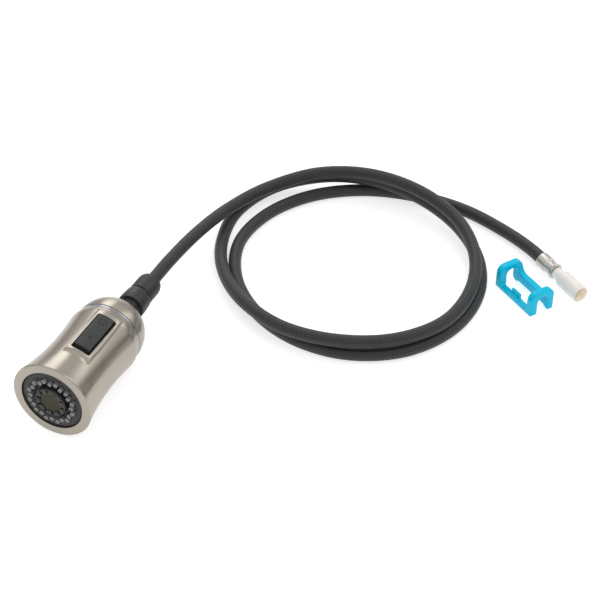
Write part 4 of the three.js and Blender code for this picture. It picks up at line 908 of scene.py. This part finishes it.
class SPRAYER_OT_swivel(bpy.types.Operator):
    """Make the swivel nut and the sleeve that the hose leaves from"""
    bl_idname = "sprayer.swivel"
    bl_label = "Swivel"

    def execute(self, context):
        line, colours = context.scene.sprayer_line, context.scene.sprayer_colours
        black = moulded_plastic("Black acetal", colours.black, rough=(0.4, 0.55), grain=0.6)
        piece("nut", self.nut(line), HEAD, black, "spray_head", "black_plastic", "swivel_nut")
        piece("sleeve", self.sleeve(line), HEAD, black, "hose_line", "black_plastic", "swivel_sleeve")
        return {"FINISHED"}

    def nut(self, line):
        end = line.nut_radius - 0.6 * MM
        body = rounded(turned([
            (NUT_BORE, THREAD_AT), (THREAD_RADIUS, THREAD_AT), (THREAD_RADIUS, NUT_FRONT),
            (line.nut_neck, NUT_FRONT), (line.nut_neck, SKIRT_AT), (line.nut_radius, SKIRT_AT),
            (line.nut_radius, SKIRT_AT + 5 * MM), (end + 0.1 * MM, NUT_END - 1.4 * MM),
            (end - 0.3 * MM, NUT_END - 0.4 * MM), (end - 0.8 * MM, NUT_END), (CAVITY_RADIUS, NUT_END),
            (CAVITY_RADIUS, CAVITY_AT), (NUT_BORE, CAVITY_AT),
        ]), 0.4 * MM)
        ribs = ring_of(NUT_RIBS, lambda i: rounded(
            slab((-RIB_HALF_WIDTH, RIBS_AT, line.nut_neck - MM),
                 (RIB_HALF_WIDTH, SKIRT_AT + MM, line.nut_neck + RIB_HEIGHT)), 0.15 * MM, segments=2))
        return gathered([body, ribs])

    def sleeve(self, line):
        stem, hole = SLEEVE_HOLE, line.hose_radius + HOSE_CLEARANCE
        radius, end = line.sleeve_radius, line.sleeve_end
        body = rounded(turned([
            (stem, SLEEVE_AT), (radius - 0.5 * MM, SLEEVE_AT), (radius, SLEEVE_AT + 0.5 * MM),
            (radius, SLEEVE_END_AT - 5.2 * MM), (radius - 0.25 * MM, SLEEVE_END_AT - 3.2 * MM),
            (radius - 0.9 * MM, SLEEVE_END_AT - 1.4 * MM), (end + 0.35 * MM, SLEEVE_END_AT - 0.4 * MM),
            (end - 0.2 * MM, SLEEVE_END_AT), (end - 0.7 * MM, SLEEVE_END_AT),
            (end - 0.9 * MM, SLEEVE_END_AT - 0.6 * MM), (end - 1.4 * MM, SLEEVE_END_AT - 0.6 * MM),
            (hole, SLEEVE_END_AT - 0.2 * MM), (hole, SLEEVE_END_AT - 2 * MM),
            (stem + SLEEVE_ROOM, SLEEVE_END_AT - 3 * MM), (stem + SLEEVE_ROOM, SLEEVE_AT + 1.7 * MM),
            (stem, SLEEVE_AT + 1.7 * MM),
        ]), 0.2 * MM, segments=2)
        # Small lugs bridge the gap behind the nut.
        low = (-LUG_HALF_WIDTH, SLEEVE_AT - 0.6 * MM, radius - 2.2 * MM)
        high = (LUG_HALF_WIDTH, SLEEVE_AT + 0.8 * MM, radius - 0.25 * MM)
        lugs = ring_of(LUGS, lambda i: rounded(slab(low, high), 0.15 * MM, segments=2), offset=0.35)
        return gathered([body, lugs])


# ---- Hose ----
HOSE_SIDES = 32
HOSE_STEP = 1.7 * MM


def route():
    """The hose's centreline from the swivel to the ferrule."""
    start = HEAD @ Vector((0, HOSE_AT, 0))
    end = TAIL @ Vector((0, HOSE_IN_FERRULE, 0))
    return [start, *[Vector(point) for point in HOSE_ROUTE], end]


def through(points, samples=24):
    """A smooth centripetal curve through the points."""
    ends = [2 * points[0] - points[1], *points, 2 * points[-1] - points[-2]]
    curve = []
    for p0, p1, p2, p3 in zip(ends, ends[1:], ends[2:], ends[3:]):
        t1 = (p1 - p0).length ** 0.5
        t2 = t1 + (p2 - p1).length ** 0.5
        t3 = t2 + (p3 - p2).length ** 0.5
        for i in range(samples):
            t = t1 + (t2 - t1) * i / samples
            a1 = p0.lerp(p1, t / t1)
            a2 = p1.lerp(p2, (t - t1) / (t2 - t1))
            a3 = p2.lerp(p3, (t - t2) / (t3 - t2))
            b1 = a1.lerp(a2, t / t2)
            b2 = a2.lerp(a3, (t - t1) / (t3 - t1))
            curve.append(b1.lerp(b2, (t - t1) / (t2 - t1)))
    return [*curve, points[-1]]


def evenly(points, step):
    """The same line with its points a step apart."""
    lengths = [0.0]
    for a, b in zip(points, points[1:]):
        lengths.append(lengths[-1] + (b - a).length)
    count = round(lengths[-1] / step)
    spaced, k = [], 0
    for i in range(count + 1):
        wanted = lengths[-1] * i / count
        while k < len(points) - 2 and lengths[k + 1] < wanted:
            k += 1
        spaced.append(points[k].lerp(points[k + 1], (wanted - lengths[k]) / (lengths[k + 1] - lengths[k])))
    return spaced, lengths[-1]


def tube_along(points, radius, sides, run):
    """A grid wrapped round a line, with turns and metres kept in its map."""
    frames, side = [], None
    for i, point in enumerate(points):
        direction = (points[min(i + 1, len(points) - 1)] - points[max(i - 1, 0)]).normalized()
        side = direction.orthogonal() if side is None else side
        side = (side - direction * side.dot(direction)).normalized()
        frames.append((point, side, direction.cross(side)))
    bm = bmesh.new()
    bmesh.ops.create_grid(bm, x_segments=sides, y_segments=len(points) - 1, size=0.5)
    layer = bm.loops.layers.uv.new("around_and_along")
    for face in bm.faces:
        for loop in face.loops:
            loop[layer].uv = (loop.vert.co.x + 0.5, (loop.vert.co.y + 0.5) * run)
    for vert in bm.verts:
        angle = (vert.co.x + 0.5) * FULL_TURN
        centre, across, up = frames[round((vert.co.y + 0.5) * (len(points) - 1))]
        vert.co = centre + (across * math.cos(angle) + up * math.sin(angle)) * radius
    bmesh.ops.remove_doubles(bm, verts=bm.verts, dist=0.01 * MM)
    bmesh.ops.holes_fill(bm, edges=[e for e in bm.edges if e.is_boundary], sides=0)
    bmesh.ops.recalc_face_normals(bm, faces=bm.faces)
    return bm


class SPRAYER_OT_hose(bpy.types.Operator):
    """Make the braided hose along its route"""
    bl_idname = "sprayer.hose"
    bl_label = "Hose"

    def execute(self, context):
        line, colours = context.scene.sprayer_line, context.scene.sprayer_colours
        points, run = evenly(through(route()), HOSE_STEP)
        braid = woven_braid("Braided nylon", colours, line)
        tube = tube_along(points, line.hose_radius, HOSE_SIDES, run)
        piece("braided_hose", tube, Matrix.Identity(4), braid, "hose_line", "hose_braid", "hose")
        return {"FINISHED"}


class SPRAYER_OT_declare_hose(bpy.types.Operator):
    """Work out the hose's centreline at twice the step; nothing else is done with it"""
    bl_idname = "sprayer.declare_hose"
    bl_label = "Declare hose"

    def execute(self, context):
        points, _ = evenly(through(route()), 2 * HOSE_STEP)
        return {"FINISHED"}


# ---- Ferrule and connector; distances run from the start of the ferrule ----
FERRULE_NECKING = 8.4 * MM
FERRULE_LENGTH = 14.9 * MM
BEAD_AT = 15.2 * MM
BEAD_WIDTH = 2.2 * MM
CONNECTOR_AT = 17.7 * MM
CONNECTOR_NECK = 6.6 * MM
# Glow of the connector's bore: painted light, not a lamp.
BORE_PAINTED_GLOW = 0.07
HOSE_STOP = 9.3 * MM             # where the hose ends inside the ferrule
STEM_HOLE = 3.4 * MM
SHAFT_RADIUS = 3.1 * MM
SHAFT_BORE = 2.3 * MM
SHAFT_END = 26.3 * MM
SLOTS = 6
SLOT_HALF_WIDTH = 1.1 * MM
SLOT_DEPTH = 0.9 * MM
SEAL_AT = 32.1 * MM
SEAL_WIDTH = 1 * MM
SEAL_INSIDE = 0.9 * MM           # how far the seal stands into the bore
SEAL_OUTSIDE = 0.2 * MM
GROOVE_DEPTH = 0.4 * MM


class SPRAYER_OT_connector(bpy.types.Operator):
    """Make the crimped ferrule, the stem with its bead and the quick connector"""
    bl_idname = "sprayer.connector"
    bl_label = "Connector"

    def execute(self, context):
        line, colours = context.scene.sprayer_line, context.scene.sprayer_colours
        steel = turned_steel("Crimped stainless steel", colours.steel, TAIL)
        white = moulded_plastic("White acetal", colours.white, rough=(0.28, 0.4), relief=0.012)
        bore_light = moulded_plastic("Acetal bore with painted through-light", colours.bore_light, rough=(0.35, 0.5), relief=0.012)
        # Painted light: the bore is tinted warm and glows faintly, standing in for daylight that comes through the
        # thin wall.
        glow = bore_light.node_tree.nodes["Principled BSDF"].inputs
        glow["Emission Color"].default_value = rgba(colours.bore_light)
        glow["Emission Strength"].default_value = BORE_PAINTED_GLOW
        rubber = soft_rubber("Black nitrile rubber", colours.rubber)
        piece("ferrule", self.ferrule(line), TAIL, steel, "hose_line", "stainless_steel", "tail_ferrule")
        piece("stem", self.stem(line), TAIL, steel, "hose_line", "stainless_steel", "tail_stem")
        piece("connector", self.body(line), TAIL, [white, bore_light], "quick_connector", "white_plastic",
              "connector_body")
        inner, outer = line.socket_radius - SEAL_INSIDE, line.socket_radius + SEAL_OUTSIDE
        end = SEAL_AT + SEAL_WIDTH
        ring = rounded(turned([(inner, SEAL_AT), (outer, SEAL_AT), (outer, end), (inner, end)]),
                       0.45 * MM, segments=4)
        piece("connector_ring", ring, TAIL, rubber, "quick_connector", "black_rubber", "connector_seal")
        return {"FINISHED"}

    def ferrule(self, line):
        radius, bore = line.ferrule_radius, line.hose_radius + 0.05 * MM
        neck = radius - 0.75 * MM
        profile = [(bore, 0), (radius - 0.15 * MM, 0), (radius, 0.4 * MM)]
        profile += [(radius, FERRULE_NECKING - 0.2 * MM), (neck + 0.1 * MM, FERRULE_NECKING + 0.9 * MM),
                    (neck, FERRULE_NECKING + 1.2 * MM), (neck, FERRULE_LENGTH - 1.9 * MM),
                    (neck - 0.25 * MM, FERRULE_LENGTH - 1.6 * MM), (neck, FERRULE_LENGTH - 1.3 * MM),
                    (neck, FERRULE_LENGTH - 0.5 * MM),
                    (neck - 0.4 * MM, FERRULE_LENGTH), (STEM_HOLE, FERRULE_LENGTH), (STEM_HOLE, HOSE_STOP),
                    (bore, HOSE_STOP)]
        return rounded(turned(profile), 0.25 * MM, segments=3, sharper=math.radians(12))

    def stem(self, line):
        shaft, bore, bead = SHAFT_RADIUS, SHAFT_BORE, line.bead_radius
        middle = BEAD_AT + BEAD_WIDTH / 2
        body = rounded(turned([
            (bore, HOSE_STOP), (shaft, HOSE_STOP), (shaft, BEAD_AT), (bead - 0.5 * MM, BEAD_AT),
            (bead - 0.1 * MM, BEAD_AT + 0.4 * MM), (bead, middle), (bead - 0.1 * MM, middle + 0.6 * MM),
            (bead - 0.5 * MM, BEAD_AT + BEAD_WIDTH), (shaft, BEAD_AT + BEAD_WIDTH), (shaft, SHAFT_END),
            (bore, SHAFT_END),
        ]), 0.15 * MM, segments=2)
        low = (-SLOT_HALF_WIDTH, middle - 0.2 * MM, bead - SLOT_DEPTH)
        high = (SLOT_HALF_WIDTH, middle + 0.45 * MM, bead + MM)
        cutters = ring_of(SLOTS, lambda i: slab(low, high), offset=0.3)
        return combined(body, cutters)

    def body(self, line):
        radius, neck, socket = line.connector_radius, line.connector_neck, line.socket_radius
        neck_end = CONNECTOR_AT + CONNECTOR_NECK
        bottom = MOUTH_AT - line.socket_depth
        groove = socket + GROOVE_DEPTH
        bm = rounded(turned([
            (STEM_HOLE, CONNECTOR_AT), (neck, CONNECTOR_AT), (neck + 0.1 * MM, neck_end - 0.5 * MM),
            (neck + 0.4 * MM, neck_end), (radius - 1.2 * MM, neck_end + 0.2 * MM),
            (radius - 0.6 * MM, neck_end + 0.5 * MM), (radius - 0.2 * MM, neck_end + 1.2 * MM),
            (radius, neck_end + 2.4 * MM), (radius, MOUTH_AT - 6 * MM), (radius - 0.2 * MM, MOUTH_AT),
            (socket, MOUTH_AT), (socket, bottom + 2.6 * MM), (groove, bottom + 2.6 * MM),
            (groove, bottom + MM), (socket, bottom + MM), (socket, bottom), (STEM_HOLE, bottom),
        ]), 0.3 * MM)
        # The bore's faces take the second finish, with its painted through-light.
        for face in bm.faces:
            centre = face.calc_center_median()
            inside = math.hypot(centre.x, centre.z) < socket + 0.35 * MM
            face.material_index = int(inside and bottom - 0.1 * MM < centre.y < MOUTH_AT - 0.35 * MM)
        return bm


# ---- Lock clip; X along it, Y away from the front rail, Z up ----
CLIP_CORNER = 5.6 * MM
RAIL_CORNER = 3 * MM
SCOOP_CORNER = 6 * MM
TAB_WIDTH = 9.6 * MM
TAB_HEIGHT = 4 * MM
TAB_THICKNESS = 1.8 * MM
TIP = 1.8 * MM                   # how far the rear legs reach below the back rail
TIP_CORNER = 4 * MM
CHANNEL_ROUNDNESS = 0.96         # the channel's roof is nearly a half circle
SOFT_CELL = 0.26 * MM
SOFT_ROUNDS = 2.2                # rounds of relaxing, for an edge of one cell


class SPRAYER_OT_clip(bpy.types.Operator):
    """Make the loose lock clip"""
    bl_idname = "sprayer.clip"
    bl_label = "Lock clip"

    def execute(self, context):
        sizes, colours = context.scene.sprayer_clip, context.scene.sprayer_colours
        blue = moulded_plastic("Glossy blue acetal", colours.blue, rough=(0.14, 0.22), grain=1.2,
                               relief=0.006, shine=0.2)
        piece("clip", self.body(sizes), CLIP, blue, "clip", "blue_plastic", "lock_clip")
        return {"FINISHED"}

    def body(self, sizes):
        past = 2 * MM
        x0, x1 = sizes.arch, sizes.span - sizes.arch
        half, top = sizes.depth / 2, sizes.height + past
        rear = sizes.depth - sizes.rear_leg
        bm = arched(0, sizes.span, 0, sizes.depth, 0, sizes.height, CLIP_CORNER)
        channel = arched(-past, sizes.span + past, sizes.leg, rear, -past, sizes.height - sizes.top,
                         (rear - sizes.leg) / 2 * CHANNEL_ROUNDNESS, segments=14)
        bm = combined(bm, channel)
        bm = combined(bm, valley(x0, x1, -past, half, sizes.rail, top, RAIL_CORNER))
        bm = combined(bm, valley(x0, x1, half - MM, sizes.depth + past, sizes.scoop, top, SCOOP_CORNER))
        bm = combined(bm, slab((x0, sizes.rail_depth, -past), (x1, half, top), RAIL_CORNER))
        bm = combined(bm, self.under_rail(sizes, x0, x1))
        bm = combined(bm, self.outer_tip(sizes))
        middle = sizes.span / 2
        tab = slab((middle - TAB_WIDTH / 2, sizes.rail_depth - TAB_THICKNESS, sizes.rail - MM),
                   (middle + TAB_WIDTH / 2, sizes.rail_depth - 0.05 * MM, sizes.rail + TAB_HEIGHT))
        bm = combined(bm, tab, "UNION")
        return softened(bm, SOFT_CELL, round((sizes.edge / SOFT_CELL) ** 2 * SOFT_ROUNDS))

    def under_rail(self, sizes, x0, x1):
        """The gap that the back rail leaves under itself, running into the next leg's round tip."""
        return self.slot_across(sizes, [(x0, -MM), (x0, TIP), (x1, TIP), *self.leg_corner(x1, TIP)])

    def outer_tip(self, sizes):
        return self.slot_across(sizes, [(-MM, -MM), (-MM, TIP_CORNER), *self.leg_corner(0, TIP_CORNER)])

    def leg_corner(self, x, height):
        """The round lower corner of a leg that starts at x, from a height down to its tip."""
        first = math.acos(1 - height / TIP_CORNER)
        corner = []
        for i in range(11):
            angle = first * (1 - i / 10)
            corner.append((x + TIP_CORNER * (math.sin(first) - math.sin(angle)),
                           TIP_CORNER * (1 - math.cos(angle))))
        return [*corner, (corner[-1][0], -MM)]

    def slot_across(self, sizes, outline):
        """An outline along the clip, extruded through the rear legs."""
        bm = bmesh.new()
        front, rear = sizes.depth / 2 + 0.5 * MM, sizes.depth + 2 * MM
        face = bm.faces.new([bm.verts.new((x, front, z)) for x, z in outline])
        lifted = bmesh.ops.extrude_face_region(bm, geom=[face])
        bmesh.ops.translate(bm, vec=(0, rear - front, 0),
                            verts=[v for v in lifted["geom"] if isinstance(v, bmesh.types.BMVert)])
        bmesh.ops.recalc_face_normals(bm, faces=bm.faces)
        return bm


# ---- Hidden parts keep their CAD shapes and get real finishes ----
class SPRAYER_OT_inner(bpy.types.Operator):
    """Give the inner parts their materials"""
    bl_idname = "sprayer.inner"
    bl_label = "Inner parts"

    def execute(self, context):
        colours = context.scene.sprayer_colours
        finishes = {
            "black_plastic": moulded_plastic("Black glass-filled nylon", colours.black, rough=(0.5, 0.62)),
            "grey_plastic": moulded_plastic("Grey acetal", colours.grey),
            "black_rubber": soft_rubber("Black rubber", colours.rubber),
            "grey_silicone": clear_silicone("Grey silicone", colours.grey),
            "stainless_steel": turned_steel("Turned stainless steel", colours.steel, HEAD),
            "steel_mesh": turned_steel("Wire gauze", colours.mesh, HEAD, rough=(0.3, 0.45)),
            "brass": turned_steel("Turned brass", colours.brass, HEAD, rough=(0.2, 0.35)),
        }
        slots = {part["node"]: part["material_slot"] for part in frame["record"]["subparts"]}
        for name, part in frame["nodes"].items():
            if not part.hide_render:
                part.data.materials.clear()
                part.data.materials.append(finishes[slots[name]])
        return {"FINISHED"}


# ---- Stage ----
LOOK_AT = Vector((-0.02305, 0.0504, 0))
AZIMUTH = math.radians(24.2)
ELEVATION = math.radians(41)
DISTANCE = 1.2
FLOOR_HALF = 3.0
PAPER = ("#bcbcbc", "#c4c4c4")
PAPER_GLOW = 0.66
HORIZON = (0.06, 0.3)            # heights between which the dome goes from dark to light
DOME = (0.05, 0.9)               # brightness at the horizon and overhead
BOX_EDGE = 0.1                   # softness of the soft boxes' edges
BOX_REACH = (0.1, 0.4)           # the boxes fade in behind the object
BOXES = ((-0.62, -0.2, 2.1), (0.32, 0.62, 1.7))     # from, to (sideways), extra brightness


class SPRAYER_OT_stage(bpy.types.Operator):
    """Make the camera, the lights and the floor"""
    bl_idname = "sprayer.stage"
    bl_label = "Stage"

    def execute(self, context):
        self.camera(context)
        self.light("overhead", (0.5, -0.2, 1.4), (0.3, 0.3), 1.2)
        self.world(context)
        self.floor()
        context.scene.view_settings.view_transform = "Standard"
        return {"FINISHED"}

    def camera(self, context):
        data = bpy.data.cameras.new("camera")
        data.lens = 100
        data.sensor_width = 36
        back = Vector((math.sin(AZIMUTH) * math.cos(ELEVATION), -math.cos(AZIMUTH) * math.cos(ELEVATION),
                       math.sin(ELEVATION)))
        camera = bpy.data.objects.new("camera", data)
        camera.location = LOOK_AT + back * DISTANCE
        camera.rotation_euler = back.to_track_quat("Z", "Y").to_euler()
        context.scene.collection.objects.link(camera)
        context.scene.camera = camera

    def light(self, name, location, size, power):
        data = bpy.data.lights.new(name, "AREA")
        data.shape = "RECTANGLE"
        data.size, data.size_y = size
        data.energy = power
        lamp = bpy.data.objects.new(name, data)
        lamp.location = location
        lamp.rotation_euler = (Vector(location) - LOOK_AT).to_track_quat("Z", "Y").to_euler()
        bpy.context.scene.collection.objects.link(lamp)

    def world(self, context):
        """An even dome, dark along the horizon, with two long soft boxes behind the object, one each side,
        so that round metal shows light and dark bands along its axis."""
        sky = bpy.data.worlds.new("studio")
        sky.use_nodes = True
        tree = sky.node_tree
        direction = add_node(tree, "ShaderNodeTexCoord").outputs["Generated"]
        split = add_node(tree, "ShaderNodeSeparateXYZ", {"Vector": direction})
        raised = add_node(tree, "ShaderNodeMapRange", {
            "Value": split.outputs["Z"], "From Min": HORIZON[0], "From Max": HORIZON[1],
            "To Min": DOME[0], "To Max": DOME[1],
        }, interpolation_type="SMOOTHSTEP").outputs["Result"]
        total = raised
        for low, high, gain in BOXES:
            across = add_node(tree, "ShaderNodeMapRange", {
                "Value": split.outputs["X"], "From Min": low, "From Max": low + BOX_EDGE},
                interpolation_type="SMOOTHSTEP").outputs["Result"]
            beyond = add_node(tree, "ShaderNodeMapRange", {
                "Value": split.outputs["X"], "From Min": high, "From Max": high - BOX_EDGE},
                interpolation_type="SMOOTHSTEP").outputs["Result"]
            back = add_node(tree, "ShaderNodeMapRange", {
                "Value": split.outputs["Y"], "From Min": BOX_REACH[0], "From Max": BOX_REACH[1],
                "To Max": gain,
            }, interpolation_type="SMOOTHSTEP").outputs["Result"]
            box = add_node(tree, "ShaderNodeMath", {0: across, 1: beyond}, operation="MULTIPLY")
            box = add_node(tree, "ShaderNodeMath", {0: box.outputs["Value"], 1: back}, operation="MULTIPLY")
            total = add_node(tree, "ShaderNodeMath", {0: box.outputs["Value"], 1: raised, 2: total},
                             operation="MULTIPLY_ADD").outputs["Value"]
        background = tree.nodes["Background"]
        background.inputs["Color"].default_value = (1, 1, 1, 1)
        tree.links.new(total, background.inputs["Strength"])
        context.scene.world = sky

    def floor(self):
        bm = bmesh.new()
        bmesh.ops.create_grid(bm, x_segments=8, y_segments=8, size=FLOOR_HALF)
        mesh = bpy.data.meshes.new("floor")
        bm.to_mesh(mesh)
        bm.free()
        made, tree, shader = new_material("Lit white paper")
        grain = add_node(tree, "ShaderNodeTexNoise", {
            "Vector": add_node(tree, "ShaderNodeTexCoord").outputs["Object"], "Scale": 3.0, "Detail": 2.0})
        tone = add_node(tree, "ShaderNodeMixRGB", {
            "Fac": grain.outputs["Fac"], "Color1": rgba(linear(PAPER[0])), "Color2": rgba(linear(PAPER[1]))})
        tree.links.new(tone.outputs["Color"], shader.inputs["Base Color"])
        shader.inputs["Roughness"].default_value = 0.9
        shader.inputs["Emission Color"].default_value = (1, 1, 1, 1)
        shader.inputs["Emission Strength"].default_value = PAPER_GLOW
        mesh.materials.append(made)
        floor = bpy.data.objects.new("floor", mesh)
        bpy.context.scene.collection.objects.link(floor)


# ---- Panel and registration ----
STEPS = ("stage", "hose", "shell", "rocker", "face", "swivel", "connector", "clip", "declare_hose", "inner")


class SPRAYER_PT_panel(bpy.types.Panel):
    """Lists the pieces of the sprayer"""
    bl_idname = "SPRAYER_PT_panel"
    bl_label = "Sprayer"
    bl_space_type = "VIEW_3D"
    bl_region_type = "UI"
    bl_category = "Sprayer"

    def draw(self, context):
        for step in STEPS:
            self.layout.operator(f"sprayer.{step}")


GROUPS = {
    "sprayer_head": SPRAYER_PG_head,
    "sprayer_rocker": SPRAYER_PG_rocker,
    "sprayer_face": SPRAYER_PG_face,
    "sprayer_line": SPRAYER_PG_line,
    "sprayer_clip": SPRAYER_PG_clip,
    "sprayer_colours": SPRAYER_PG_colours,
}
CLASSES = (
    *GROUPS.values(), SPRAYER_OT_stage, SPRAYER_OT_hose, SPRAYER_OT_shell, SPRAYER_OT_rocker, SPRAYER_OT_face,
    SPRAYER_OT_swivel, SPRAYER_OT_connector, SPRAYER_OT_clip, SPRAYER_OT_declare_hose, SPRAYER_OT_inner,
    SPRAYER_PT_panel,
)


def register():
    for cls in CLASSES:
        bpy.utils.register_class(cls)
    for name, group in GROUPS.items():
        setattr(bpy.types.Scene, name, PointerProperty(type=group))


def unregister():
    for name in GROUPS:
        delattr(bpy.types.Scene, name)
    for cls in reversed(CLASSES):
        bpy.utils.unregister_class(cls)


def main():
    register()
    for step in STEPS:
        getattr(bpy.ops.sprayer, step)()


if __name__ == "__main__":
    main()
